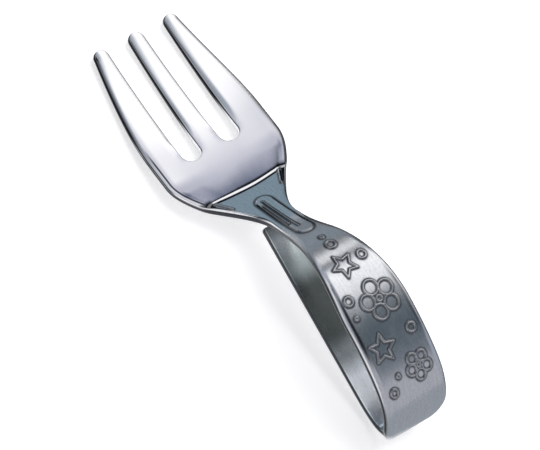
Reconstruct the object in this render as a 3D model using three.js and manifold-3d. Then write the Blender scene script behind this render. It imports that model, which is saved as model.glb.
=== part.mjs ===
// Infant's fork stamped from one strip of stainless sheet: a three-tined head, a narrow neck,
// and a broad strap bent over into a closed loop for small fingers.
// Millimetres, +Z up, tines towards +X, lying as it does on a table.
import * as THREE from 'three';
import { mergeVertices } from 'three/addons/utils/BufferGeometryUtils.js';
import Module from 'manifold-3d';

// Head, measured along the sheet
const HEAD_LENGTH = 34.9; // tine tips to the crease
const HEAD_SWEEP = 15.3; // degrees that the head turns up over its length
const BELLY_WIDTH = 24.6; // widest part of the head
const BELLY_AT = 12.3; // widest part, ahead of the crease
const BELLY_ROUND = 7.5; // length over which the sides straighten ahead of the belly
const TIP_SPAN = 17.7; // over the outer tines at their tips
const SHOULDER_AT = 6.7; // start of the narrowing to the neck, ahead of the crease
const BOWL_DEPTH = 0.9; // dish of the bowl below its rims
const TIP_DISH = 0.1; // dish left at the tine tips

// Tines
const SLOT_LENGTH = 26.2; // tine tips to the round end of a slot
const SLOT_WIDTH = 3.7;
const SLOT_PITCH = 8.3; // between the middles of the two slot ends
const OUTER_TIP_RADIUS = 1.55;
const MIDDLE_TIP_RADIUS = 1.65;

// Neck
const FOLD_RADIUS = 4; // crease at the back of the bowl
const NECK_START = 28.7; // degrees of rise just behind the crease
const NECK_END = 43.8; // degrees of rise where the arch starts
const NECK_LENGTH = 18.6;
const THROAT_WIDTH = 5.6; // narrowest part
const THROAT_AT = 11.7; // narrowest part, behind the crease
const JOIN_AT = 15; // change of finish, behind the crease

// Loop handle
const CROWN_RADIUS = 14.8;
const CROWN_DROP = 8.6; // degrees of fall where the crown ends
const BACK_RADIUS = 46.3;
const BACK_DROP = 29.5; // degrees of fall where the back ends
const SHOULDER_RADIUS = 12;
const HEEL_RADIUS = 3.8; // tight bend at the far end
const GRIP_WIDTH = 13.3;
const GRIP_AT = 39.3; // full width reached, behind the crease
const HEEL_WIDTH = 8.5;
const HEEL_TAPER = 7.8; // length over which the grip narrows to the heel
const END_WIDTH = 5.9; // free end of the return strap
const SEAT_AT = 9; // free end lies under this part of the neck, behind the crease
const SEAT_CLEARANCE = 0.3;

// Sheet
const TIP_THICKNESS = 1.2;
const BOWL_THICKNESS = 1.7;
const STRAP_THICKNESS = 1.45;
const EDGE_ROUND = 0.6; // reach of the rounded edges

// Facets
const HEAD_STEPS = 14;
const BEND_STEPS = 6;
const LONG_BEND_STEPS = 12;
const DISH_STEPS = 8;
const EDGE_STEPS = 4;
const ARC_STEPS = 10;
const TRIM = 1; // sheet left ahead of the tips for the cutter to take off

const radians = THREE.MathUtils.degToRad;
const { lerp, smoothstep } = THREE.MathUtils;
const wasm = await Module();
wasm.setup();

// Upper side of a sheet that runs back along -X and rises by the angle rise.
function upward(rise) {
  return new THREE.Vector2(Math.sin(rise), Math.cos(rise));
}

// Stations of a round bend that follows the last station: it turns to the rise given, up or down.
function bend(last, radius, rise, steps) {
  const turn = rise - last.rise;
  const signed = radius * Math.sign(turn);
  const centre = last.point.clone().addScaledVector(upward(last.rise), signed);
  return Array.from({ length: steps }, (_, i) => {
    const share = (i + 1) / steps;
    const there = last.rise + turn * share;
    const point = centre.clone().addScaledVector(upward(there), -signed);
    return { along: last.along + radius * Math.abs(turn) * share, point, rise: there };
  });
}

const lastOf = (list) => list[list.length - 1];

// Mid line of the head and the loop down to the heel, from the tine tips. Its head chord lies along X.
const headRadius = HEAD_LENGTH / radians(HEAD_SWEEP);
const tipRise = -radians(HEAD_SWEEP) / 2 - TRIM / headRadius;
const line = [{ along: -TRIM, point: new THREE.Vector2(0, 0), rise: tipRise }];
line.push(...bend(lastOf(line), headRadius, radians(HEAD_SWEEP) / 2, HEAD_STEPS));
line.push(...bend(lastOf(line), FOLD_RADIUS, radians(NECK_START), BEND_STEPS));
const neckStart = lastOf(line);
const neckRadius = NECK_LENGTH / radians(NECK_END - NECK_START);
const joinAlong = HEAD_LENGTH + JOIN_AT;
const riseAt = (along) => neckStart.rise + (along - neckStart.along) / neckRadius;
line.push(...bend(neckStart, neckRadius, riseAt(joinAlong), BEND_STEPS));
const joinIndex = line.length - 1;
line.push(...bend(lastOf(line), neckRadius, radians(NECK_END), BEND_STEPS / 2));
line.push(...bend(lastOf(line), CROWN_RADIUS, radians(-CROWN_DROP), LONG_BEND_STEPS));
line.push(...bend(lastOf(line), BACK_RADIUS, radians(-BACK_DROP), BEND_STEPS));
line.push(...bend(lastOf(line), SHOULDER_RADIUS, -Math.PI / 2, LONG_BEND_STEPS));
const heelAlong = lastOf(line).along;

// The return strap runs straight from the heel to its seat under the neck.
const seat = bend(neckStart, neckRadius, riseAt(HEAD_LENGTH + SEAT_AT), 1)[0];
const seatDrop = BOWL_THICKNESS / 2 + SEAT_CLEARANCE + STRAP_THICKNESS / 2;
const strapEnd = seat.point.clone().addScaledVector(upward(seat.rise), -seatDrop);
const heelCentre = lastOf(line).point.clone().addScaledVector(upward(lastOf(line).rise), -HEEL_RADIUS);
const reach = strapEnd.clone().sub(heelCentre);
const strapLength = Math.sqrt(reach.lengthSq() - HEEL_RADIUS ** 2);
const strapAngle = reach.angle() + Math.atan2(HEEL_RADIUS, strapLength);
const strapRise = -Math.PI - (strapAngle > Math.PI ? strapAngle - 2 * Math.PI : strapAngle);
line.push(...bend(lastOf(line), HEEL_RADIUS, strapRise, LONG_BEND_STEPS));
line.push({ along: lastOf(line).along + strapLength, point: strapEnd, rise: strapRise });
const endAlong = lastOf(line).along;

// Half width of the strip at a distance along it from the tine tips.
function halfWidth(along) {
  const behind = along - HEAD_LENGTH;
  const ahead = Math.max(0, -BELLY_AT - behind);
  const straighten = (distance) => Math.hypot(distance, BELLY_ROUND) - BELLY_ROUND;
  const side = (BELLY_WIDTH - TIP_SPAN) * straighten(ahead) / straighten(HEAD_LENGTH - BELLY_AT);
  const neck = smoothstep(behind, -SHOULDER_AT, THROAT_AT);
  const grip = smoothstep(behind, THROAT_AT, GRIP_AT);
  const heel = smoothstep(along, heelAlong - HEEL_TAPER / 2, heelAlong + HEEL_TAPER / 2);
  const strap = THREE.MathUtils.clamp((along - heelAlong) / (endAlong - heelAlong), 0, 1);
  const head = lerp(BELLY_WIDTH - side, THROAT_WIDTH, neck);
  const handle = lerp(GRIP_WIDTH - THROAT_WIDTH, HEEL_WIDTH - THROAT_WIDTH, heel);
  return (head + grip * handle + strap * (END_WIDTH - HEEL_WIDTH)) / 2;
}

// Thickness of the sheet, thinned at the tines and in the strap.
function thickness(along) {
  const head = lerp(TIP_THICKNESS, BOWL_THICKNESS, smoothstep(along, 0, HEAD_LENGTH - SHOULDER_AT));
  return lerp(head, STRAP_THICKNESS, smoothstep(along, HEAD_LENGTH + SEAT_AT, joinAlong));
}

// Height of the rims over the middle of the sheet.
function dish(along) {
  const bowl = lerp(TIP_DISH, BOWL_DEPTH, smoothstep(along, 0, HEAD_LENGTH - SHOULDER_AT));
  return bowl * (1 - smoothstep(along, HEAD_LENGTH - SHOULDER_AT / 2, HEAD_LENGTH + THROAT_AT));
}

// The strip lies on its heel and on the back of its head: the lowest line that touches both is the table.
function restAngle() {
  const heelReach = HEEL_RADIUS + STRAP_THICKNESS / 2;
  const angles = line.filter((s) => s.along >= 0 && s.along <= HEAD_LENGTH).map((s) => {
    const under = s.point.clone().addScaledVector(upward(s.rise), -thickness(s.along) / 2).sub(heelCentre);
    return Math.atan2(under.y, under.x) + Math.asin(heelReach / under.length());
  });
  return Math.min(...angles);
}

const tilt = restAngle();
const floor = heelCentre.clone().rotateAround(new THREE.Vector2(), -tilt).y - HEEL_RADIUS - STRAP_THICKNESS / 2;
const placed = line.map((s) => {
  const point = s.point.clone().rotateAround(new THREE.Vector2(), -tilt);
  return { along: s.along, point: point.setY(point.y - floor), rise: s.rise + tilt };
});
const tipX = placed[0].point.x - TRIM * Math.cos(placed[0].rise);
const heelX = heelCentre.clone().rotateAround(new THREE.Vector2(), -tilt).x - HEEL_RADIUS - STRAP_THICKNESS / 2;
const middleX = (tipX + heelX) / 2;

// One section of the strip: its upper side, a rounded edge, its under side and the other edge.
function section(station, sideSteps) {
  const half = halfWidth(station.along);
  const sheet = thickness(station.along) / 2;
  const flat = half - EDGE_ROUND;
  const row = Array.from({ length: sideSteps + 1 }, (_, i) => flat * (1 - 2 * i / sideSteps));
  const edge = Array.from({ length: EDGE_STEPS - 1 }, (_, i) => Math.PI * (0.5 - (i + 1) / EDGE_STEPS));
  const loop = [];
  row.forEach((v) => loop.push([v, sheet]));
  edge.forEach((a) => loop.push([-flat - EDGE_ROUND * Math.cos(a), sheet * Math.sin(a)]));
  row.forEach((v) => loop.push([-v, -sheet]));
  edge.forEach((a) => loop.push([flat + EDGE_ROUND * Math.cos(a), -sheet * Math.sin(a)]));
  return loop.map(([v, lift]) => {
    const height = lift + dish(station.along) * (v / half) ** 2;
    const at = station.point.clone().addScaledVector(upward(station.rise), height);
    return new THREE.Vector3(at.x - middleX, v, at.y);
  });
}

// Closed solid through the sections of a run of stations, with a cap on each end.
function loft(stations, sideSteps) {
  const rings = stations.map((s) => section(s, sideSteps));
  const count = rings[0].length;
  const centre = (ring) => ring.reduce((sum, p) => sum.add(p), new THREE.Vector3()).divideScalar(count);
  const points = [...rings.flat(), centre(rings[0]), centre(lastOf(rings))];
  const faces = [];
  for (let k = 0; k < count; k += 1) {
    const next = (k + 1) % count;
    for (let i = 0; i + 1 < rings.length; i += 1) {
      const here = i * count;
      const there = here + count;
      faces.push(here + k, there + k, there + next, here + k, there + next, here + next);
    }
    const last = (rings.length - 1) * count;
    faces.push(points.length - 2, k, next, points.length - 1, last + next, last + k);
  }
  const geometry = new THREE.BufferGeometry().setFromPoints(points);
  geometry.setIndex(faces);
  return geometry;
}

// Everything outside the three tines: the slots, with their round ends, and the room around the tips.
function tineCutter() {
  const far = BELLY_WIDTH;
  const outerX = tipX - middleX - OUTER_TIP_RADIUS;
  const middleTipX = tipX - middleX - MIDDLE_TIP_RADIUS;
  const outerY = halfWidth(OUTER_TIP_RADIUS) - OUTER_TIP_RADIUS;
  const slotRadius = SLOT_WIDTH / 2;
  const slotX = tipX - middleX - SLOT_LENGTH + slotRadius;
  const up = Math.PI / 2;
  const shape = new THREE.Shape();
  shape.moveTo(outerX + far, far);
  shape.lineTo(outerX, far);
  shape.absarc(outerX, outerY, OUTER_TIP_RADIUS, up, -up, true);
  shape.absarc(slotX, SLOT_PITCH / 2, slotRadius, up, 3 * up, false);
  shape.absarc(middleTipX, 0, MIDDLE_TIP_RADIUS, up, -up, true);
  shape.absarc(slotX, -SLOT_PITCH / 2, slotRadius, up, 3 * up, false);
  shape.absarc(outerX, -outerY, OUTER_TIP_RADIUS, up, -up, true);
  shape.lineTo(outerX, -far);
  shape.lineTo(outerX + far, -far);
  const geometry = new THREE.ExtrudeGeometry(shape, {
    depth: 2 * far, bevelEnabled: false, curveSegments: ARC_STEPS,
  });
  return geometry.translate(0, 0, -far);
}

// Geometry and solid, one into the other.
function solidOf(geometry) {
  geometry.deleteAttribute('normal');
  geometry.deleteAttribute('uv');
  const merged = mergeVertices(geometry);
  return new wasm.Manifold(new wasm.Mesh({
    numProp: 3,
    vertProperties: new Float32Array(merged.attributes.position.array),
    triVerts: new Uint32Array(merged.index.array),
  }));
}

function geometryOf(solid) {
  const mesh = solid.getMesh();
  const geometry = new THREE.BufferGeometry();
  geometry.setAttribute('position', new THREE.BufferAttribute(mesh.vertProperties, 3));
  geometry.setIndex(new THREE.BufferAttribute(mesh.triVerts, 1));
  return geometry;
}

function piece(name, geometry, material) {
  geometry.computeVertexNormals();
  const mesh = new THREE.Mesh(geometry, material);
  mesh.name = name;
  return mesh;
}

const polished = new THREE.MeshStandardMaterial({ color: 0xdadce2, metalness: 1, roughness: 0.12 });
const satin = new THREE.MeshStandardMaterial({ color: 0xb4b6bb, metalness: 1, roughness: 0.38 });

const headBlank = solidOf(loft(placed.slice(0, joinIndex + 1), DISH_STEPS));
const headSolid = headBlank.subtract(solidOf(tineCutter()));

const fork = new THREE.Group();
fork.add(piece('fork_head', geometryOf(headSolid), polished));
fork.add(piece('loop_handle', loft(placed.slice(joinIndex), 1), satin));

export default fork;
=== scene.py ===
"""Baby fork with a mirror-polished three-tine head and a satin strap bent into a finger loop.

The fork is laid out as a flat blank, raised with a generic motif on its band, and then bent along the
strip's mid-line, the way the real one is stamped. Lengths are in metres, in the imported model's frame.
"""
import logging
import math
from dataclasses import dataclass
from enum import Enum

import bmesh
import bpy
import numpy as np
from mathutils import Matrix, Vector, geometry, kdtree


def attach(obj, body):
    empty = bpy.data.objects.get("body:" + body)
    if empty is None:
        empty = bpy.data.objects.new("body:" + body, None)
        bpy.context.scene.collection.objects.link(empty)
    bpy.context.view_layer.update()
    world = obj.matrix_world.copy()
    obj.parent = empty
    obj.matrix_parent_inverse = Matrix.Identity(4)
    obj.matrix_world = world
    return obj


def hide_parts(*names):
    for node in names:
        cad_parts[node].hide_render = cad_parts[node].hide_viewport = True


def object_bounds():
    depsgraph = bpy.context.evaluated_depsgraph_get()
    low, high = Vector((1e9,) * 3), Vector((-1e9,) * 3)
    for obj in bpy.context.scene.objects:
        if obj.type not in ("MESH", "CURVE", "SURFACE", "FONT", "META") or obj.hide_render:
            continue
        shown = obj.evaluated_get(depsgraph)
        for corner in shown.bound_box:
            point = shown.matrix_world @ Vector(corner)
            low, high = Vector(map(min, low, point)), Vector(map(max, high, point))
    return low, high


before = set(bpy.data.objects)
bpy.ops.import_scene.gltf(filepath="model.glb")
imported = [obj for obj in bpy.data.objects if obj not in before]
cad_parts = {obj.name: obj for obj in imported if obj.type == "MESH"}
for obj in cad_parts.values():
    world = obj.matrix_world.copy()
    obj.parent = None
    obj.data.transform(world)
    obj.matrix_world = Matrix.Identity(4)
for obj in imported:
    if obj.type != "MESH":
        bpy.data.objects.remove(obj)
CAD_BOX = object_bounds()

LOG = logging.getLogger("fork")
MM = 0.001
Pair = tuple[float, float]
Triple = tuple[float, float, float]
Fades = tuple[float, float, float, float]
Run = tuple[Pair, ...]
Socket = bpy.types.NodeSocket


def smoothstep(value: np.ndarray, start: float, end: float) -> np.ndarray:
    """Eases from 0 to 1 between two values.

    Args:
        value: Where the curve is read.
        start: Where it leaves 0.
        end: Where it reaches 1, on either side of start.

    Returns:
        The eased share at each value.
    """
    share = np.clip((np.asarray(value, float) - start) / (end - start), 0.0, 1.0)
    return share * share * (3.0 - 2.0 * share)


def window(value: np.ndarray, rise: Pair, fall: Pair) -> np.ndarray:
    """Returns a share that eases from 0 to 1 over the rise and back to 0 over the fall."""
    return smoothstep(value, *rise) * smoothstep(value, *reversed(fall))


def span_at(base: float, span: Pair) -> Pair:
    """Returns a span that was given from the base as one from 0."""
    return base + span[0], base + span[1]


def mix(low: np.ndarray, high: np.ndarray, share: np.ndarray) -> np.ndarray:
    """Returns the value a share of the way from low to high."""
    return low + (high - low) * share


class Motif(Enum):
    """The kinds of raised motif on the band."""

    FLOWER = "flower"
    STAR = "star"
    RING = "ring"
    BEAD = "bead"


class CardTone(Enum):
    """What a reflection card shows to the metal."""

    BLACK = (0.010, 0.011, 0.013)
    DUSK = (0.182, 0.210, 0.296)
    PEARL = (0.950, 0.955, 0.970)
    SLATE = (0.070, 0.100, 0.122)
    TABLE = (0.360, 0.390, 0.430)
    MIST = (0.480, 0.487, 0.535)
    BLUE_GREY = (0.230, 0.310, 0.370)
    GREY = (0.415, 0.455, 0.525)
    GLARE = (1.300, 1.300, 1.312)
    HAZE = (0.600, 0.608, 0.706)
    WHITE = (1.130, 1.135, 1.150)


@dataclass(frozen=True)
class StripSizes:
    """The sizes of the bent strip.

    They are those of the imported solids, apart from end_round, which rounds the free end's corners.
    """

    head_length: float = 34.9 * MM
    head_sweep: float = math.radians(15.3)
    belly_width: float = 24.6 * MM
    belly_at: float = 12.3 * MM
    belly_round: float = 7.5 * MM
    tip_span: float = 17.7 * MM
    shoulder_at: float = 6.7 * MM
    bowl_depth: float = 0.9 * MM
    tip_dish: float = 0.1 * MM
    slot_length: float = 26.2 * MM
    slot_width: float = 3.7 * MM
    slot_pitch: float = 8.3 * MM
    outer_tip_radius: float = 1.55 * MM
    middle_tip_radius: float = 1.65 * MM
    fold_radius: float = 4.0 * MM
    neck_start: float = math.radians(28.7)
    neck_end: float = math.radians(43.8)
    neck_length: float = 18.6 * MM
    throat_width: float = 5.6 * MM
    throat_at: float = 11.7 * MM
    join_at: float = 15.0 * MM
    crown_radius: float = 14.8 * MM
    crown_drop: float = math.radians(8.6)
    back_radius: float = 46.3 * MM
    back_drop: float = math.radians(29.5)
    shoulder_radius: float = 12.0 * MM
    heel_radius: float = 3.8 * MM
    grip_width: float = 13.3 * MM
    grip_at: float = 39.3 * MM
    heel_width: float = 8.5 * MM
    heel_taper: float = 7.8 * MM
    end_width: float = 5.9 * MM
    end_round: float = 0.6 * MM
    seat_at: float = 9.0 * MM
    seat_clearance: float = 0.3 * MM
    tip_thickness: float = 1.2 * MM
    bowl_thickness: float = 1.7 * MM
    strap_thickness: float = 1.45 * MM


class MidLine:
    """The strip's mid-line in the plane of symmetry, from the tine tips back to the strap's free end."""

    STEP = 0.02 * MM
    LEAD = 1.0 * MM
    SLANT_STEP = 0.1 * MM
    EASING_PASSES = 2
    FOLD_SOFTNESS = 0.55 * MM
    RUN_SOFTNESS = 3.0 * MM
    HEEL_SOFTNESS = 6.5 * MM
    # The fold's middle behind the crease, and how far from it the run's softness starts and is reached
    FOLD_MIDDLE = 0.7 * MM
    FOLD_REACH = (1.6 * MM, 6.5 * MM)
    # Where the heel's softness starts and is reached, from the heel's foot
    FOOT_REACH = (-2.0 * MM, 3.0 * MM)

    def __init__(self, sizes: StripSizes) -> None:
        """Lays the chain of arcs and turns it to rest on the floor.

        Args:
            sizes: The strip's sizes.
        """
        self.sizes = sizes
        self.knots = self._head_to_heel()
        self.heel_along = self.knots[-1][0]
        self._close_loop()
        self.end_along = self.knots[-1][0]
        self.tilt = self._rest_tilt()
        self._soften()

    @staticmethod
    def upward(rise: np.ndarray) -> np.ndarray:
        """Returns the unit normals of the strip's upper side where it climbs at these angles."""
        return np.stack([np.sin(rise), np.cos(rise)], -1)

    def _head_to_heel(self) -> list[Pair]:
        """Lists where the slope's rate changes, as pairs of distance along the strip and slope.

        Returns:
            The knots from the tine tips to the top of the heel.
        """
        s = self.sizes
        radius = s.head_length / s.head_sweep
        knots = [(-self.LEAD, -s.head_sweep / 2 - self.LEAD / radius), (s.head_length, s.head_sweep / 2)]
        bends = (
            (s.fold_radius, s.neck_start),
            (s.neck_length / (s.neck_end - s.neck_start), s.neck_end),
            (s.crown_radius, -s.crown_drop),
            (s.back_radius, -s.back_drop),
            (s.shoulder_radius, -math.pi / 2),
        )
        for bend_radius, rise in bends:
            along, before = knots[-1]
            knots.append((along + bend_radius * abs(rise - before), rise))
        return knots

    def _trace(self) -> tuple[np.ndarray, np.ndarray, np.ndarray]:
        """Follows the knots.

        Returns:
            Distances along the strip, slopes there, and points as x and z.
        """
        table = np.array(self.knots)
        along = np.arange(table[0, 0], table[-1, 0] + self.STEP / 2, self.STEP)
        rise = np.interp(along, table[:, 0], table[:, 1])
        return along, rise, self._walk(rise)

    def _walk(self, rise: np.ndarray) -> np.ndarray:
        """Returns the points, as x and z, that steps at these slopes lead to."""
        step = np.stack([-np.cos(rise), np.sin(rise)], -1) * self.STEP
        return np.concatenate([np.zeros((1, 2)), np.cumsum((step[1:] + step[:-1]) / 2, axis=0)])

    def _close_loop(self) -> None:
        """Adds the heel's bend and the straight return that ends under the neck."""
        s = self.sizes
        along, rise, points = self._trace()
        seat = int(np.argmin(np.abs(along - s.head_length - s.seat_at)))
        drop = s.bowl_thickness / 2 + s.seat_clearance + s.strap_thickness / 2
        strap_end = points[seat] - self.upward(rise[seat]) * drop
        self.heel_centre = points[-1] - self.upward(rise[-1]) * s.heel_radius
        reach = strap_end - self.heel_centre
        length = math.sqrt(float(reach @ reach) - s.heel_radius**2)
        angle = math.atan2(reach[1], reach[0]) + math.atan2(s.heel_radius, length)
        turned = self.knots[-1][0] + s.heel_radius * (math.pi / 2 + angle)
        self.foot_along = turned
        self.knots.append((turned, -math.pi - angle))
        self.knots.append((turned + length, -math.pi - angle))

    def _rest_tilt(self) -> float:
        """Finds the line under the heel and the head.

        Returns:
            The angle by which the fork turns to lie on the floor.
        """
        s = self.sizes
        along, rise, points = self._trace()
        head = along < s.head_length
        under = points - self.upward(rise) * (self.thickness(along) / 2)[:, None]
        away = under[head] - self.heel_centre
        reach = np.hypot(away[:, 0], away[:, 1])
        heel = s.heel_radius + s.strap_thickness / 2
        angles = np.arctan2(away[:, 1], away[:, 0]) + np.arcsin(heel / reach)
        return float(angles.min())

    def _soften(self) -> None:
        """Eases the changes of bend, as sheet metal does, and keeps the table that place() reads."""
        s = self.sizes
        along, rise, points = self._trace()
        crease = int(np.argmin(np.abs(along - s.head_length)))
        far = smoothstep(np.abs(along - s.head_length - self.FOLD_MIDDLE), *self.FOLD_REACH)
        foot = smoothstep(along, *span_at(self.foot_along, self.FOOT_REACH))
        half = mix(self.FOLD_SOFTNESS, mix(self.RUN_SOFTNESS, self.HEEL_SOFTNESS, foot), far) / 2
        half = np.maximum(np.minimum(half, np.minimum(along - along[0], along[-1] - along)), self.STEP)
        ends = (along - along[0] < 2 * self.STEP) | (along[-1] - along < 2 * self.STEP)
        for _ in range(self.EASING_PASSES):
            total = np.concatenate([[0.0], np.cumsum((rise[1:] + rise[:-1]) / 2 * self.STEP)])
            high = np.interp(along + half, along, total)
            low = np.interp(along - half, along, total)
            rise = np.where(ends, rise, (high - low) / (2 * half))
        eased = self._walk(rise)
        eased += points[crease] - eased[crease]
        cosine, sine = math.cos(self.tilt), math.sin(self.tilt)
        self.table_along = along
        self.table_rise = rise + self.tilt
        self.table_points = eased @ np.array([[cosine, -sine], [sine, cosine]])

    def half_width(self, along: np.ndarray) -> np.ndarray:
        """Gives half the strip's width.

        Args:
            along: Distances from the tine tips.

        Returns:
            Half the width at each.
        """
        s = self.sizes
        behind = along - s.head_length
        ahead = np.maximum(0.0, -s.belly_at - behind)
        most = math.hypot(s.head_length - s.belly_at, s.belly_round) - s.belly_round
        side = (s.belly_width - s.tip_span) * (np.hypot(ahead, s.belly_round) - s.belly_round) / most
        head = mix(s.belly_width - side, s.throat_width, smoothstep(behind, -s.shoulder_at, s.throat_at))
        heel = smoothstep(along, self.heel_along - s.heel_taper / 2, self.heel_along + s.heel_taper / 2)
        handle = mix(s.grip_width - s.throat_width, s.heel_width - s.throat_width, heel)
        strap = np.clip((along - self.heel_along) / (self.end_along - self.heel_along), 0.0, 1.0)
        grip = smoothstep(behind, s.throat_at, s.grip_at)
        return (head + grip * handle + strap * (s.end_width - s.heel_width)) / 2

    def depth(self, flat: np.ndarray) -> np.ndarray:
        """Finds how far points of the flat blank lie inside its sides.

        Args:
            flat: Points as minus the distance from the tips, the distance across, and the height.

        Returns:
            The distance at each, square to the side.
        """
        along = -flat[:, 0]
        change = self.half_width(along + self.SLANT_STEP) - self.half_width(along - self.SLANT_STEP)
        slant = change / (2 * self.SLANT_STEP)
        return (self.half_width(along) - np.abs(flat[:, 1])) / np.sqrt(1 + slant**2)

    def thickness(self, along: np.ndarray) -> np.ndarray:
        """Gives the sheet's thickness.

        Args:
            along: Distances from the tine tips.

        Returns:
            The thickness at each.
        """
        s = self.sizes
        head = mix(s.tip_thickness, s.bowl_thickness, smoothstep(along, 0.0, s.head_length - s.shoulder_at))
        strap = smoothstep(along, s.head_length + s.seat_at, s.head_length + s.join_at)
        return mix(head, s.strap_thickness, strap)

    def dish(self, along: np.ndarray, across: np.ndarray) -> np.ndarray:
        """Gives how far the hollow of the head lifts its sides.

        Args:
            along: Distances from the tine tips.
            across: Distances from the middle line.

        Returns:
            The lift of the sheet at each point.
        """
        s = self.sizes
        depth = mix(s.tip_dish, s.bowl_depth, smoothstep(along, 0.0, s.head_length - s.shoulder_at))
        fade = 1 - smoothstep(along, s.head_length - s.shoulder_at / 2, s.head_length + s.throat_at)
        return depth * fade * (across / self.half_width(along)) ** 2

    def place(self, flat: np.ndarray) -> np.ndarray:
        """Bends points of the flat blank to the strip's shape.

        Args:
            flat: Points as minus the distance from the tips, the distance across, and the height.

        Returns:
            The points in the fork's own frame, before it is set on the floor.
        """
        along = -flat[:, 0]
        rise = np.interp(along, self.table_along, self.table_rise)
        lift = flat[:, 2] + self.dish(along, flat[:, 1])
        x = np.interp(along, self.table_along, self.table_points[:, 0]) + np.sin(rise) * lift
        z = np.interp(along, self.table_along, self.table_points[:, 1]) + np.cos(rise) * lift
        return np.stack([x, flat[:, 1], z], -1)


@dataclass(frozen=True)
class MotifPlace:
    """Where one raised motif sits on the band."""

    kind: Motif
    behind: float
    across: float
    radius: float
    turn: float = 0.0


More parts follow.
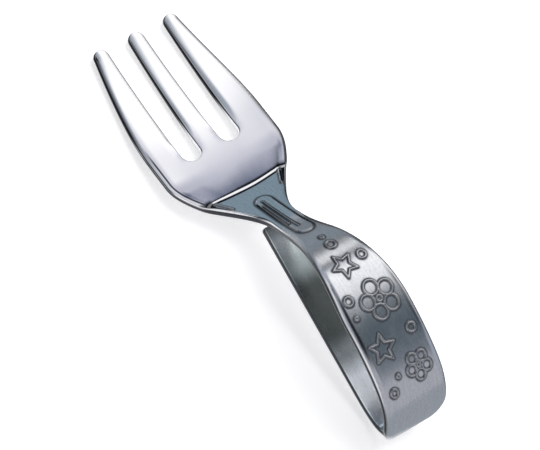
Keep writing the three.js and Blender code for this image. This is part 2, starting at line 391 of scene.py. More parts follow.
@dataclass
class FlatBlank:
    """The fork cut from sheet, before it is bent: its outline, rounded edges and fine mesh."""

    line: MidLine
    dense: tuple[MotifPlace, ...] = ()
    outline_step: float = 0.26 * MM
    least_arc_steps: int = 6
    least_run_steps: int = 2
    head_edge: float = 0.40 * MM
    blunt_edge: float = 0.14 * MM
    strap_edge: float = 0.36 * MM
    edge_power: float = 2.4
    crown_reach: float = 1.65 * MM
    crown_share: float = 0.34
    outer_crown: float = 1.35
    bevel_width: float = 1.20 * MM
    bevel_border: float = 0.85 * MM
    bevel_share: float = 0.52
    bevel_wall: float = 0.30 * MM
    # Behind the crease: where the strap's edge, the end of the crown and the bevel start and are reached
    strap_edge_span: Pair = (-2.0 * MM, 8.0 * MM)
    crown_end_span: Pair = (2.0 * MM, 14.0 * MM)
    bevel_from: float = 11.0 * MM
    bevel_rise: float = 9.0 * MM
    # From a slot's end: where the crown of the slots and the higher crown of the sides start and are full
    slot_crown_span: Pair = (-0.4 * MM, -7.0 * MM)
    side_crown_span: Pair = (0.0 * MM, -6.0 * MM)
    slot_inset: float = 1.0 * MM
    slot_overrun: float = 0.5 * MM
    # Stretches of finer mesh, from the crease and from the heel, and the mesh of the motifs
    fold_fine: Pair = (-3.0 * MM, 21.0 * MM)
    heel_fine: Pair = (-6.5 * MM, 16.0 * MM)
    motifs_from: float = 20.0 * MM
    motif_margin: float = 0.4 * MM
    row_share: float = 0.87
    rim_rings: int = 11
    rim_gap: float = 0.1 * MM
    coarse: float = 0.42 * MM
    middling: float = 0.30 * MM
    fine: float = 0.20 * MM
    finest: float = 0.12 * MM
    # The kind of triangulation that fills only the outline, and the distance at which its points merge
    fill_inside: int = 1
    weld: float = 1e-9

    def _arc(self, centre: Pair, radius: float, first: float, last: float) -> list[Pair]:
        """Samples an arc of the outline.

        Args:
            centre: Its centre, as along and across.
            radius: Its radius.
            first: Where it starts, in degrees from the way back along the strip.
            last: Where it ends.

        Returns:
            Its points, as along and across.
        """
        length = abs(math.radians(last - first)) * radius
        count = max(self.least_arc_steps, math.ceil(length / self.outline_step))
        angles = np.radians(np.linspace(first, last, count + 1))
        return [(centre[0] + radius * math.cos(a), centre[1] + radius * math.sin(a)) for a in angles]

    def _run(self, start: Pair, end: Pair) -> list[Pair]:
        """Samples a straight run of the outline.

        Args:
            start: Where it starts, as along and across.
            end: Where it ends.

        Returns:
            The points between its ends.
        """
        count = max(self.least_run_steps, math.ceil(math.dist(start, end) / self.outline_step))
        shares = np.linspace(0, 1, count + 1)[1:-1]
        return [(mix(start[0], end[0], t), mix(start[1], end[1], t)) for t in shares]

    def outline(self) -> np.ndarray:
        """Draws the closed outline, with the slots between the tines open at the tips.

        Returns:
            Points as along and across, in order round the blank.
        """
        s = self.line.sizes
        outer = s.outer_tip_radius
        outer_across = float(self.line.half_width(np.array(outer))) - outer
        slot_end = (s.slot_length - s.slot_width / 2, s.slot_pitch / 2)
        points = self._arc((s.middle_tip_radius, 0.0), s.middle_tip_radius, 180, 90)
        slot = self._arc(slot_end, s.slot_width / 2, -90, 90)
        points += self._run(points[-1], slot[0]) + slot
        tip = self._arc((outer, outer_across), outer, 270, 90)
        points += self._run(slot[-1], tip[0]) + tip
        end = self.line.end_along
        corner = end - s.end_round
        stations = np.linspace(outer, corner, math.ceil((corner - outer) / self.outline_step) + 1)
        points += [(u, float(self.line.half_width(np.array(u)))) for u in stations[1:]]
        half_end = points[-1][1]
        points += self._arc((corner, half_end - s.end_round), s.end_round, 90, 0)[1:]
        points += self._run(points[-1], (end, 0.0)) + [(end, 0.0)]
        points += [(u, -v) for u, v in reversed(points[1:-1])]
        return np.array(points)

    @staticmethod
    def _inward(loop: np.ndarray) -> np.ndarray:
        """Finds which way is into the blank.

        Args:
            loop: The outline's points in order.

        Returns:
            A unit vector at each point.
        """
        step = np.roll(loop, -1, axis=0) - loop
        step /= np.linalg.norm(step, axis=1)[:, None]
        tangent = step + np.roll(step, 1, axis=0)
        tangent /= np.linalg.norm(tangent, axis=1)[:, None]
        normal = np.stack([-tangent[:, 1], tangent[:, 0]], -1)
        area = np.sum(loop[:, 0] * np.roll(loop[:, 1], -1) - np.roll(loop[:, 0], -1) * loop[:, 1])
        return normal if area > 0 else -normal

    def _grid(self) -> np.ndarray:
        """Lays staggered rows of points over the blank, closer where it bends hard or is raised.

        Returns:
            Points as along and across, some of them outside the outline.
        """
        crease = self.line.sizes.head_length
        heel = self.line.heel_along
        stops = (0.0, *span_at(crease, self.fold_fine), *span_at(heel, self.heel_fine), self.line.end_along)
        pitches = (self.coarse, self.fine, self.middling, self.fine, self.coarse)
        sparse = np.concatenate([self._rows(*span) for span in zip(stops, stops[1:], pitches)])
        dense = self._rows(crease + self.motifs_from, heel, self.finest)
        return np.concatenate([sparse[~self._raised(sparse)], dense[self._raised(dense)]])

    def _rows(self, start: float, end: float, pitch: float) -> np.ndarray:
        """Lays staggered rows over one stretch.

        Args:
            start: Where the stretch begins.
            end: Where it ends.
            pitch: The distance between neighbours.

        Returns:
            Points as along and across.
        """
        stations = np.arange(start + pitch / 2, end, pitch * self.row_share)
        count = math.ceil(self.line.sizes.belly_width / 2 / pitch)
        shift = (np.arange(len(stations)) % 2) / 2
        across = (np.arange(-count, count + 1)[None, :] + shift[:, None]) * pitch
        along = np.repeat(stations[:, None], across.shape[1], axis=1)
        return np.stack([along.ravel(), across.ravel()], -1)

    def _raised(self, points: np.ndarray) -> np.ndarray:
        """Tells which points lie on or beside a raised motif.

        Args:
            points: Points as along and across.

        Returns:
            True for each point that does.
        """
        found = np.zeros(len(points), bool)
        for place in self.dense:
            centre = np.array([self.line.sizes.head_length + place.behind, place.across])
            found |= np.linalg.norm(points - centre, axis=1) < place.radius + self.motif_margin
        return found

    def _bevelled(self, along: np.ndarray) -> np.ndarray:
        """Returns how fully the band's bevel is formed at these distances from the tips."""
        start = self.line.sizes.head_length + self.bevel_from
        return window(along, (start, start + self.bevel_rise), (self.line.heel_along, self.line.foot_along))

    def _edge(self, along: np.ndarray, facing: np.ndarray) -> np.ndarray:
        """Gives how far in the shaping of the edge reaches.

        Args:
            along: Distances from the tine tips.
            facing: How squarely the edge faces sideways, from 0 to 1.

        Returns:
            The reach at each place.
        """
        head = mix(self.blunt_edge, self.head_edge, facing**2)
        strap = smoothstep(along, *span_at(self.line.sizes.head_length, self.strap_edge_span))
        return mix(mix(head, self.strap_edge, strap), self.bevel_width, self._bevelled(along))

    def _shares(self, sheet: np.ndarray) -> tuple[np.ndarray, np.ndarray]:
        """Gives the shares of the half thickness that the sheet has above and below its middle.

        Args:
            sheet: Rows of along, across, distance in from the outline, facing, and crowning.

        Returns:
            The upper and the lower share, from 0 on the outline to 1 on the flat.
        """
        along, depth, facing, crowning = sheet[:, 0], sheet[:, 2], sheet[:, 3], sheet[:, 4]
        band = self._bevelled(along)
        reach = self._edge(along, facing)
        shoulder = 1 - np.clip(depth / self.crown_reach, 0.0, 1.0)
        head = 1 - smoothstep(along, *span_at(self.line.sizes.head_length, self.crown_end_span))
        crown = 1 - self.crown_share * head * crowning * shoulder**2
        border = self.bevel_border
        inner = np.clip(self.bevel_width - depth, 0.0, border)
        fall = inner**2 / (2 * border) + np.clip(self.bevel_width - border - depth, 0.0, None)
        slope = 1 - self.bevel_share * band * fall / (self.bevel_width - border / 2)
        upper = self._round(depth, mix(reach, self.bevel_wall, band)) * crown * slope
        return upper, self._round(depth, np.minimum(reach, self.head_edge)) * crown

    def _crowning(self, loop: np.ndarray, facing: np.ndarray) -> np.ndarray:
        """Gives how strongly the sheet is crowned beside the outline, which dies out where a slot ends.

        Args:
            loop: The outline's points, as along and across.
            facing: How squarely each faces sideways.

        Returns:
            From 0 up at each point, with 1 along the slots.
        """
        along = loop[:, 0]
        slot_end = self.line.sizes.slot_length
        inside = np.abs(loop[:, 1]) < self.line.half_width(along) - self.slot_inset
        in_slot = inside & (along < slot_end + self.slot_overrun)
        slot = smoothstep(along, *span_at(slot_end, self.slot_crown_span))
        outer = mix(1.0, self.outer_crown, smoothstep(along, *span_at(slot_end, self.side_crown_span)))
        return facing**2 * np.where(in_slot, slot, outer)

    def _round(self, depth: np.ndarray, reach: np.ndarray) -> np.ndarray:
        """Returns the share of full height at these depths behind an edge rounded over the reach."""
        inside = 1 - np.clip(depth / reach, 0.0, 1.0)
        return (1 - inside**self.edge_power) ** (1 / self.edge_power)

    def build(self) -> bpy.types.Mesh:
        """Makes the closed flat mesh, with its length along minus X.

        Returns:
            The mesh.
        """
        loop = self.outline()
        inward = self._inward(loop)
        facing = np.abs(inward[:, 1])
        edge = self._edge(loop[:, 0], facing)
        crowning = self._crowning(loop, facing)
        shares = (1 - np.cos(np.linspace(0, math.pi, self.rim_rings))) / 2
        depths = [edge * share for share in shares]
        tree = kdtree.KDTree(len(loop))
        for index, (along, across) in enumerate(loop):
            tree.insert((along, across, 0.0), index)
        tree.balance()
        inner = []
        for along, across in self._grid():
            _, index, _ = tree.find((along, across, 0.0))
            depth = float((np.array([along, across]) - loop[index]) @ inward[index])
            if depth > edge[index] + self.rim_gap:
                inner.append((along, across, depth, facing[index], crowning[index]))
        rings = [np.column_stack([loop + inward * d[:, None], d, facing, crowning]) for d in depths]
        return self._sew(rings, np.array(inner))

    def _sew(self, rings: list[np.ndarray], inside: np.ndarray) -> bpy.types.Mesh:
        """Joins the rim's rings and the inner points into one closed mesh.

        Args:
            rings: Copies of the outline, each further in, as rows of what _shares() reads.
            inside: Inner points, as such rows.

        Returns:
            The mesh.
        """
        count = len(rings[0])
        flat = [Vector((-p[0], p[1])) for p in np.concatenate([rings[-1], inside])]
        edges = [(i, (i + 1) % count) for i in range(count)]
        filled = geometry.delaunay_2d_cdt(flat, edges, [], self.fill_inside, self.weld)
        faces, origins = filled[2], filled[3]
        triangles = np.array([[origins[i][0] for i in face] for face in faces])
        sheet = np.concatenate(rings + [inside])
        above, below = self._shares(sheet)
        half = self.line.thickness(sheet[:, 0]) / 2
        top = np.stack([-sheet[:, 0], sheet[:, 1], above * half], -1)
        under = np.stack([-sheet[:, 0], sheet[:, 1], -below * half], -1)[count:]
        shift = (len(rings) - 1) * count
        middle = [tuple(int(i) for i in face + shift) for face in triangles]
        rim = []
        for ring in range(len(rings) - 1):
            near, far = ring * count, (ring + 1) * count
            rim += [(near + i, near + j, far + j, far + i) for i, j in edges]
        upper = self._face_up(top, middle) + self._face_up(top, rim)
        offset = len(top) - count
        lower = [tuple(i if i < count else i + offset for i in reversed(face)) for face in upper]
        mesh = bpy.data.meshes.new("fork_blank")
        mesh.from_pydata(np.concatenate([top, under]).tolist(), [], upper + lower)
        mesh.update()
        return mesh

    @staticmethod
    def _face_up(points: np.ndarray, faces: list[tuple[int, ...]]) -> list[tuple[int, ...]]:
        """Turns faces of the upper side so that they face up.

        Args:
            points: The points of the upper side.
            faces: Faces that all turn the same way.

        Returns:
            The faces, turned over if they faced down.
        """
        a, b, c = (points[i] for i in faces[-1][:3])
        left = (b[0] - a[0]) * (c[1] - a[1]) - (b[1] - a[1]) * (c[0] - a[0]) > 0
        return faces if left else [face[::-1] for face in faces]


class NodeBench:
    """A node tree with short calls to add and join its nodes."""

    NOISE_ROUGHNESS = 0.55

    def __init__(self, tree: bpy.types.NodeTree) -> None:
        """Keeps the tree that is being built."""
        self.tree = tree

    def link(self, source: Socket, target: Socket) -> None:
        """Joins two sockets."""
        self.tree.links.new(source, target)

    def feed(self, value: Socket | float | tuple | str, target: Socket) -> None:
        """Joins a socket to the target, or sets the target to a value.

        Args:
            value: The socket or the value.
            target: The input that takes it.
        """
        if isinstance(value, Socket):
            self.link(value, target)
        else:
            target.default_value = value

    def fill(self, node: bpy.types.Node, inputs: dict) -> None:
        """Feeds a node's inputs, each named by its label or its number."""
        for key, value in inputs.items():
            self.feed(value, node.inputs[key])

    def add(self, kind: str, inputs: dict | None = None) -> bpy.types.Node:
        """Adds a node.

        Args:
            kind: Its type.
            inputs: What its inputs take, by label or number.

        Returns:
            The node.
        """
        node = self.tree.nodes.new(kind)
        self.fill(node, inputs or {})
        return node

    def maths(self, kind: str, first: Socket | float, second: Socket | float) -> Socket:
        """Adds an operation on two values.

        Args:
            kind: The operation.
            first: Its first value.
            second: Its second value.

        Returns:
            The socket with the result.
        """
        node = self.add("ShaderNodeMath", {0: first, 1: second})
        node.operation = kind
        return node.outputs[0]

    def product(self, first: Socket, *others: Socket | float) -> Socket:
        """Adds a product of values.

        Args:
            first: The first value.
            others: What it is multiplied by, in turn.

        Returns:
            The socket with the result.
        """
        for other in others:
            first = self.maths("MULTIPLY", first, other)
        return first

    def ease(self, value: Socket, start: Socket | float, end: Socket | float) -> Socket:
        """Adds an eased step from 0 to 1 between two values.

        Args:
            value: Where the step is read.
            start: Where it leaves 0.
            end: Where it reaches 1, on either side of start.

        Returns:
            The socket with the result.
        """
        node = self.add("ShaderNodeMapRange", {"Value": value, "From Min": start, "From Max": end})
        node.interpolation_type = "SMOOTHSTEP"
        return node.outputs[0]

    def window(self, value: Socket, rise: Pair, fall: Pair) -> Socket:
        """Returns the socket of a share that eases to 1 over the rise and back to 0 over the fall."""
        return self.product(self.ease(value, *rise), self.ease(value, *reversed(fall)))

    def blend(self, share: Socket, first: Socket | Triple, second: Socket | Triple) -> Socket:
        """Adds a mix of two colours.

        Args:
            share: How much of the second colour shows.
            first: The first colour.
            second: The second colour.

        Returns:
            The socket with the mixed colour.
        """
        node = self.add("ShaderNodeMix")
        node.data_type = "RGBA"
        self.link(share, node.inputs["Factor"])
        ends = [socket for socket in node.inputs if socket.type == "RGBA"]
        for value, socket in zip((first, second), ends):
            self.feed(value if isinstance(value, Socket) else (*value, 1.0), socket)
        return next(socket for socket in node.outputs if socket.type == "RGBA")

    def ramp(self, value: Socket, stops: tuple[tuple[float, Triple], ...]) -> Socket:
        """Adds a run of colours.

        Args:
            value: Where the run is read.
            stops: Values in rising order, each with its colour.

        Returns:
            The socket with the colour.
        """
        first, last = stops[0][0], stops[-1][0]
        share = self.add("ShaderNodeMapRange", {"Value": value, "From Min": first, "From Max": last})
        node = self.add("ShaderNodeValToRGB", {0: share.outputs[0]})
        node.color_ramp.interpolation = "EASE"
        marks = node.color_ramp.elements
        while len(marks) < len(stops):
            marks.new(0.5)
        for mark, (place, colour) in zip(marks, stops):
            mark.position = (place - first) / (last - first)
            mark.color = (*colour, 1.0)
        return node.outputs["Color"]

    def noise(self, vector: Socket, stretch: Triple, detail: float) -> Socket:
        """Adds a noise on stretched coordinates.

        Args:
            vector: The coordinates, in metres.
            stretch: The noise's cells for each metre along each axis.
            detail: How many finer layers it has.

        Returns:
            The socket with the noise, from 0 to 1.
        """
        scale = self.add("ShaderNodeVectorMath", {0: vector, 1: stretch})
        scale.operation = "MULTIPLY"
        look = {"Scale": 1.0, "Detail": detail, "Roughness": self.NOISE_ROUGHNESS}
        return self.add("ShaderNodeTexNoise", {"Vector": scale.outputs[0], **look}).outputs[0]

    def split(self, vector: Socket) -> bpy.types.bpy_prop_collection:
        """Returns the sockets with a vector's three parts."""
        return self.add("ShaderNodeSeparateXYZ", {0: vector}).outputs

    def attribute(self, name: str) -> bpy.types.bpy_prop_collection:
        """Adds a reading of one of the mesh's attributes.

        Args:
            name: The attribute's name.

        Returns:
            The node's sockets.
        """
        node = self.add("ShaderNodeAttribute")
        node.attribute_name = name
        return node.outputs

    def group(self, tree: bpy.types.NodeTree, inputs: dict) -> bpy.types.bpy_prop_collection:
        """Adds a shared group.

        Args:
            tree: The group.
            inputs: What its inputs take, by label.

        Returns:
            The node's sockets.
        """
        node = self.add("ShaderNodeGroup")
        node.node_tree = tree
        self.fill(node, inputs)
        return node.outputs

    def circle(self, radius: float, steps: int) -> Socket:
        """Returns the socket with a circle of straight steps."""
        size = {"Resolution": steps, "Radius": radius}
        return self.add("GeometryNodeCurvePrimitiveCircle", size).outputs["Curve"]

    def join(self, parts: list[Socket]) -> Socket:
        """Adds a union of geometry.

        Args:
            parts: The sockets with what is joined.

        Returns:
            The socket with the whole.
        """
        whole = self.add("GeometryNodeJoinGeometry")
        for part in parts:
            self.link(part, whole.inputs[0])
        return whole.outputs[0]

    def distance(self, curves: Socket, where: Socket) -> Socket:
        """Adds distances from curves.

        Args:
            curves: The curves.
            where: The places whose distances are wanted.

        Returns:
            The socket with the distances.
        """
        wires = self.add("GeometryNodeCurveToMesh", {"Curve": curves}).outputs[0]
        near = self.add("GeometryNodeProximity", {0: wires, "Source Position": where})
        near.target_element = "EDGES"
        return near.outputs["Distance"]


@dataclass
class BandRelief:
    """The raised motifs on the band's outer face, in Geometry Nodes on the flat blank."""

    line: MidLine
    tongue_start: float = 6.2 * MM
    tongue_end: float = 17.8 * MM
    tongue_width: float = 3.6 * MM
    tongue_height: float = 0.30 * MM
    tongue_softness: float = 0.42 * MM
    # How far the painted shade at the tongue's foot spreads to either side
    tongue_foot_shade: float = 0.48 * MM
    # Each flute's start and end behind the crease, and its place across
    flutes: tuple[Triple, ...] = ((7.4 * MM, 15.0 * MM, 1.15 * MM), (6.2 * MM, 16.6 * MM, 0.40 * MM))
    panel_corner: Pair = (1.0 * MM, 7.0 * MM)
    panel_foot: Pair = (4.1 * MM, 5.3 * MM)
    line_width: float = 0.24 * MM
    softness: float = 0.14 * MM
    height: float = 0.24 * MM
    # How far the painted shade at the foot of a raised line spreads to either side
    foot_shade: float = 0.34 * MM
    # Shares of the half thickness: where the lift starts beside an edge, and the face that takes it whole
    rim_share: float = 0.6
    face_share: float = 0.93
    # Shares of a motif's radius
    petal_share: float = 0.36
    stem_share: float = 0.62
    eye_share: float = 0.14
    waist_share: float = 0.48
    petals: int = 5
    star_points: int = 5
    petal_steps: int = 28
    eye_steps: int = 20
    ring_steps: int = 24
    places: tuple[MotifPlace, ...] = (
        MotifPlace(Motif.BEAD, 22.6 * MM, 0.0, 0.35 * MM),
        MotifPlace(Motif.RING, 25.0 * MM, 0.0, 0.85 * MM),
        MotifPlace(Motif.STAR, 29.6 * MM, 0.9 * MM, 2.3 * MM, 0.3),
        MotifPlace(Motif.RING, 29.4 * MM, -3.0 * MM, 0.75 * MM),
        MotifPlace(Motif.FLOWER, 37.2 * MM, -1.2 * MM, 3.7 * MM, 0.2),
        MotifPlace(Motif.RING, 35.2 * MM, 4.1 * MM, 0.8 * MM),
        MotifPlace(Motif.BEAD, 38.3 * MM, 4.4 * MM, 0.3 * MM),
        MotifPlace(Motif.STAR, 44.8 * MM, 2.7 * MM, 2.5 * MM, -0.2),
        MotifPlace(Motif.RING, 44.0 * MM, -3.9 * MM, 0.8 * MM),
        MotifPlace(Motif.FLOWER, 50.2 * MM, -2.2 * MM, 2.6 * MM, 0.5),
        MotifPlace(Motif.BEAD, 50.2 * MM, 2.2 * MM, 0.3 * MM),
        MotifPlace(Motif.RING, 52.4 * MM, 4.0 * MM, 0.7 * MM),
    )

    def _flower(self, bench: NodeBench, radius: float) -> Socket:
        """Adds petals set round an eye.

        Args:
            bench: The tree that is being built.
            radius: The flower's radius.

        Returns:
            The socket with its lines.
        """
        petal = bench.circle(radius * self.petal_share, self.petal_steps)
        wreath = {"Vertices": self.petals, "Radius": radius * self.stem_share}
        stems = bench.add("GeometryNodeMeshCircle", wreath)
        spread = bench.add("GeometryNodeInstanceOnPoints", {"Points": stems.outputs[0], "Instance": petal})
        return bench.join([spread.outputs[0], bench.circle(radius * self.eye_share, self.eye_steps)])

    def _lines(self, bench: NodeBench, place: MotifPlace) -> Socket:
        """Adds the lines of one motif about the origin.

        Args:
            bench: The tree that is being built.
            place: The motif's kind and size.

        Returns:
            The socket with its lines.
        """
        if place.kind is Motif.FLOWER:
            return self._flower(bench, place.radius)
        if place.kind is Motif.STAR:
            radii = {"Inner Radius": place.radius * self.waist_share, "Outer Radius": place.radius}
            return bench.add("GeometryNodeCurveStar", {"Points": self.star_points, **radii}).outputs["Curve"]
        return bench.circle(place.radius, self.ring_steps)

    def _ridge(self, bench: NodeBench, start: Pair, end: Pair) -> Socket:
        """Adds a straight line on the strip.

        Args:
            bench: The tree that is being built.
            start: Where it starts, as behind the crease and across.
            end: Where it ends.

        Returns:
            The socket with the line.
        """
        crease = self.line.sizes.head_length
        ends = [(-(crease + behind), across, 0.0) for behind, across in (start, end)]
        return bench.add("GeometryNodeCurvePrimitiveLine", {"Start": ends[0], "End": ends[1]}).outputs[0]

    def _curves(self, bench: NodeBench) -> Socket:
        """Adds all the raised lines: the motifs, the tongue's flutes and the panel's ridges.

        Args:
            bench: The tree that is being built.

        Returns:
            The socket with the lines.
        """
        curves = []
        for place in self.places:
            spot = (-(self.line.sizes.head_length + place.behind), place.across, 0.0)
            pose = {"Translation": spot, "Rotation": (0.0, 0.0, place.turn)}
            moved = bench.add("GeometryNodeTransform", {"Geometry": self._lines(bench, place), **pose})
            curves.append(moved.outputs["Geometry"])
        for start, end, across in self.flutes:
            curves.append(self._ridge(bench, (start, across), (end, across)))
        for side in (-1, 1):
            ends = [(behind, side * across) for behind, across in (self.panel_corner, self.panel_foot)]
            curves.append(self._ridge(bench, *ends))
        return bench.add("GeometryNodeRealizeInstances", {0: bench.join(curves)}).outputs[0]

    def _interface(self) -> dict[str, float]:
        """Returns the tree's number inputs with their values."""
        return {
            "Lift": self.height,
            "Line Half Width": self.line_width / 2,
            "Softness": self.softness,
            "Face Height": self.line.sizes.strap_thickness / 2 * self.face_share,
            "Tongue Lift": self.tongue_height,
            "Tongue Half Width": self.tongue_width / 2,
            "Tongue Softness": self.tongue_softness,
            "Foot Shade Width": self.foot_shade,
            "Tongue Foot Shade": self.tongue_foot_shade,
        }

    def _tree(self) -> bpy.types.GeometryNodeTree:
        """Builds the tree that lifts the upper face near the raised lines and on the tongue, and stores the
        painted shade at their feet.

        Returns:
            The tree, with inputs for the numbers and the material.
        """
        tree = bpy.data.node_groups.new("Band Relief", "GeometryNodeTree")
        face = tree.interface
        face.new_socket("Geometry", in_out="INPUT", socket_type="NodeSocketGeometry")
        for name in self._interface():
            face.new_socket(name, in_out="INPUT", socket_type="NodeSocketFloat")
        face.new_socket("Steel", in_out="INPUT", socket_type="NodeSocketMaterial")
        face.new_socket("Geometry", in_out="OUTPUT", socket_type="NodeSocketGeometry")
        bench = NodeBench(tree)
        source = bench.add("NodeGroupInput").outputs
        split = bench.split(bench.add("GeometryNodeInputPosition").outputs[0])
        ground = bench.add("ShaderNodeCombineXYZ", {0: split[0], 1: split[1]}).outputs[0]
        distance = bench.distance(self._curves(bench), ground)
        outer = bench.maths("ADD", source["Line Half Width"], source["Softness"])
        rise = bench.ease(distance, outer, source["Line Half Width"])
        rim = bench.maths("MULTIPLY", source["Face Height"], self.rim_share)
        on_top = bench.ease(split[2], rim, source["Face Height"])
        spine = bench.distance(self._ridge(bench, (self.tongue_start, 0.0), (self.tongue_end, 0.0)), ground)
        inner = bench.maths("SUBTRACT", source["Tongue Half Width"], source["Tongue Softness"])
        tongue = bench.ease(spine, source["Tongue Half Width"], inner)
        lift = bench.maths(
            "ADD",
            bench.product(rise, on_top, source["Lift"]),
            bench.product(tongue, source["Tongue Lift"], on_top),
        )
        # Painted shade: a dark line at the foot of each raised line and of the tongue
        dark = bench.maths(
            "MAXIMUM",
            self._foot_shade(bench, source["Foot Shade Width"], distance, outer),
            self._foot_shade(bench, source["Tongue Foot Shade"], spine, source["Tongue Half Width"]),
        )
        offset = bench.add("ShaderNodeCombineXYZ", {2: lift}).outputs[0]
        raised = bench.add("GeometryNodeSetPosition", {"Geometry": source["Geometry"], "Offset": offset})
        # Stores that painted shade for the steel's colour
        marked = bench.add("GeometryNodeStoreNamedAttribute")
        marked.data_type = "FLOAT"
        marked.domain = "POINT"
        amount = bench.product(dark, on_top)
        bench.fill(marked, {"Name": "foot_shade", "Geometry": raised.outputs[0], "Value": amount})
        whole = bench.add("GeometryNodeRealizeInstances", {0: marked.outputs[0]}).outputs[0]
        dressed = bench.add("GeometryNodeSetMaterial", {"Geometry": whole, "Material": source["Steel"]})
        bench.add("NodeGroupOutput", {0: dressed.outputs[0]})
        return tree

    @staticmethod
    def _foot_shade(bench: NodeBench, width: Socket, distance: Socket, border: Socket) -> Socket:
        """Adds the painted shade, a dark line standing in for shade and dark reflection, at the foot of a
        raised line.

        Args:
            bench: The tree that is being built.
            width: How far it spreads to either side.
            distance: Distances from the line.
            border: Where the raised part ends.

        Returns:
            The socket with its amount, from 0 to 1.
        """
        far = bench.ease(distance, bench.maths("ADD", border, width), border)
        close = bench.ease(distance, bench.maths("SUBTRACT", border, width), border)
        return bench.product(far, close)

    def apply(self, blank: bpy.types.Mesh, steel: bpy.types.Material) -> bpy.types.Mesh:
        """Raises the motifs on the blank.

        Args:
            blank: The flat blank, which is used up.
            steel: The band's finish.

        Returns:
            A plain mesh of the raised blank.
        """
        carrier = bpy.data.objects.new("blank_carrier", blank)
        bpy.context.scene.collection.objects.link(carrier)
        tree = self._tree()
        modifier = carrier.modifiers.new("relief", "NODES")
        modifier.node_group = tree
        values = {**self._interface(), "Steel": steel}
        for item in tree.interface.items_tree:
            if item.in_out == "INPUT" and item.name in values:
                modifier[item.identifier] = values[item.name]
        graph = bpy.context.evaluated_depsgraph_get()
        raised = bpy.data.meshes.new_from_object(carrier.evaluated_get(graph))
        carrier.modifiers.remove(modifier)
        bpy.data.objects.remove(carrier)
        bpy.data.meshes.remove(blank)
        return raised


class SteelEffects:
    """The shader groups that the polished and the satin finish share."""

    # Each noise: its cells for each metre along the strip, across it and through it, and its finer layers
    LINES = ((240.0, 3800.0, 1200.0), 3.0)
    SPECKS = ((1900.0, 2300.0, 1200.0), 2.0)
    SMEARS = ((170.0, 210.0, 90.0), 4.0)
    HAIRS = ((95.0, 2600.0, 300.0), 2.0)
    # Where a smear or a hairline starts to show in its noise, and where it shows in full
    SMEAR_STEP = (0.42, 0.7)
    HAIR_STEP = (0.66, 0.74)
    # The share of each noise in the grain, and the grain's mean
    GRAIN_SHARE = 0.5
    GRAIN_MEAN = 0.5

    def __init__(self) -> None:
        """Builds the groups once."""
        self.grain = self._grain()
        self.handling = self._handling()

    @staticmethod
    def _group(name: str, inputs: dict[str, float], outputs: tuple[str, ...]) -> bpy.types.ShaderNodeTree:
        """Starts a group with a strip vector and number sockets.

        Args:
            name: The group's name.
            inputs: Its number inputs with their usual values.
            outputs: Its outputs.

        Returns:
            The group, with no nodes in it.
        """
        tree = bpy.data.node_groups.new(name, "ShaderNodeTree")
        tree.interface.new_socket("Strip", in_out="INPUT", socket_type="NodeSocketVector")
        for label, value in inputs.items():
            socket = tree.interface.new_socket(label, in_out="INPUT", socket_type="NodeSocketFloat")
            socket.default_value = value
        for label in outputs:
            tree.interface.new_socket(label, in_out="OUTPUT", socket_type="NodeSocketFloat")
        return tree

    def _grain(self) -> bpy.types.ShaderNodeTree:
        """Makes the fine lines that finishing leaves along the strip.

        Returns:
            The group, with a height for bumps and a tone for colour.
        """
        tree = self._group("Finishing Grain", {"Tone Depth": 0.05}, ("Height", "Tone"))
        bench = NodeBench(tree)
        source = bench.add("NodeGroupInput").outputs
        lines = bench.product(bench.noise(source["Strip"], *self.LINES), self.GRAIN_SHARE)
        specks = bench.product(bench.noise(source["Strip"], *self.SPECKS), self.GRAIN_SHARE)
        both = bench.maths("ADD", lines, specks)
        swing = bench.product(bench.maths("SUBTRACT", both, self.GRAIN_MEAN), source["Tone Depth"])
        bench.add("NodeGroupOutput", {"Height": both, "Tone": bench.maths("ADD", swing, 1.0)})
        return tree

    def _handling(self) -> bpy.types.ShaderNodeTree:
        """Makes faint smears and hairline scratches from use.

        Returns:
            The group, with an amount to add to the roughness.
        """
        tree = self._group("Handling Marks", {"Smear": 0.03, "Scratch": 0.05}, ("Roughness Added",))
        bench = NodeBench(tree)
        source = bench.add("NodeGroupInput").outputs
        smear = bench.ease(bench.noise(source["Strip"], *self.SMEARS), *self.SMEAR_STEP)
        hair = bench.ease(bench.noise(source["Strip"], *self.HAIRS), *self.HAIR_STEP)
        smeared = bench.product(smear, source["Smear"])
        scratched = bench.product(hair, source["Scratch"])
        bench.add("NodeGroupOutput", {"Roughness Added": bench.maths("ADD", smeared, scratched)})
        return tree


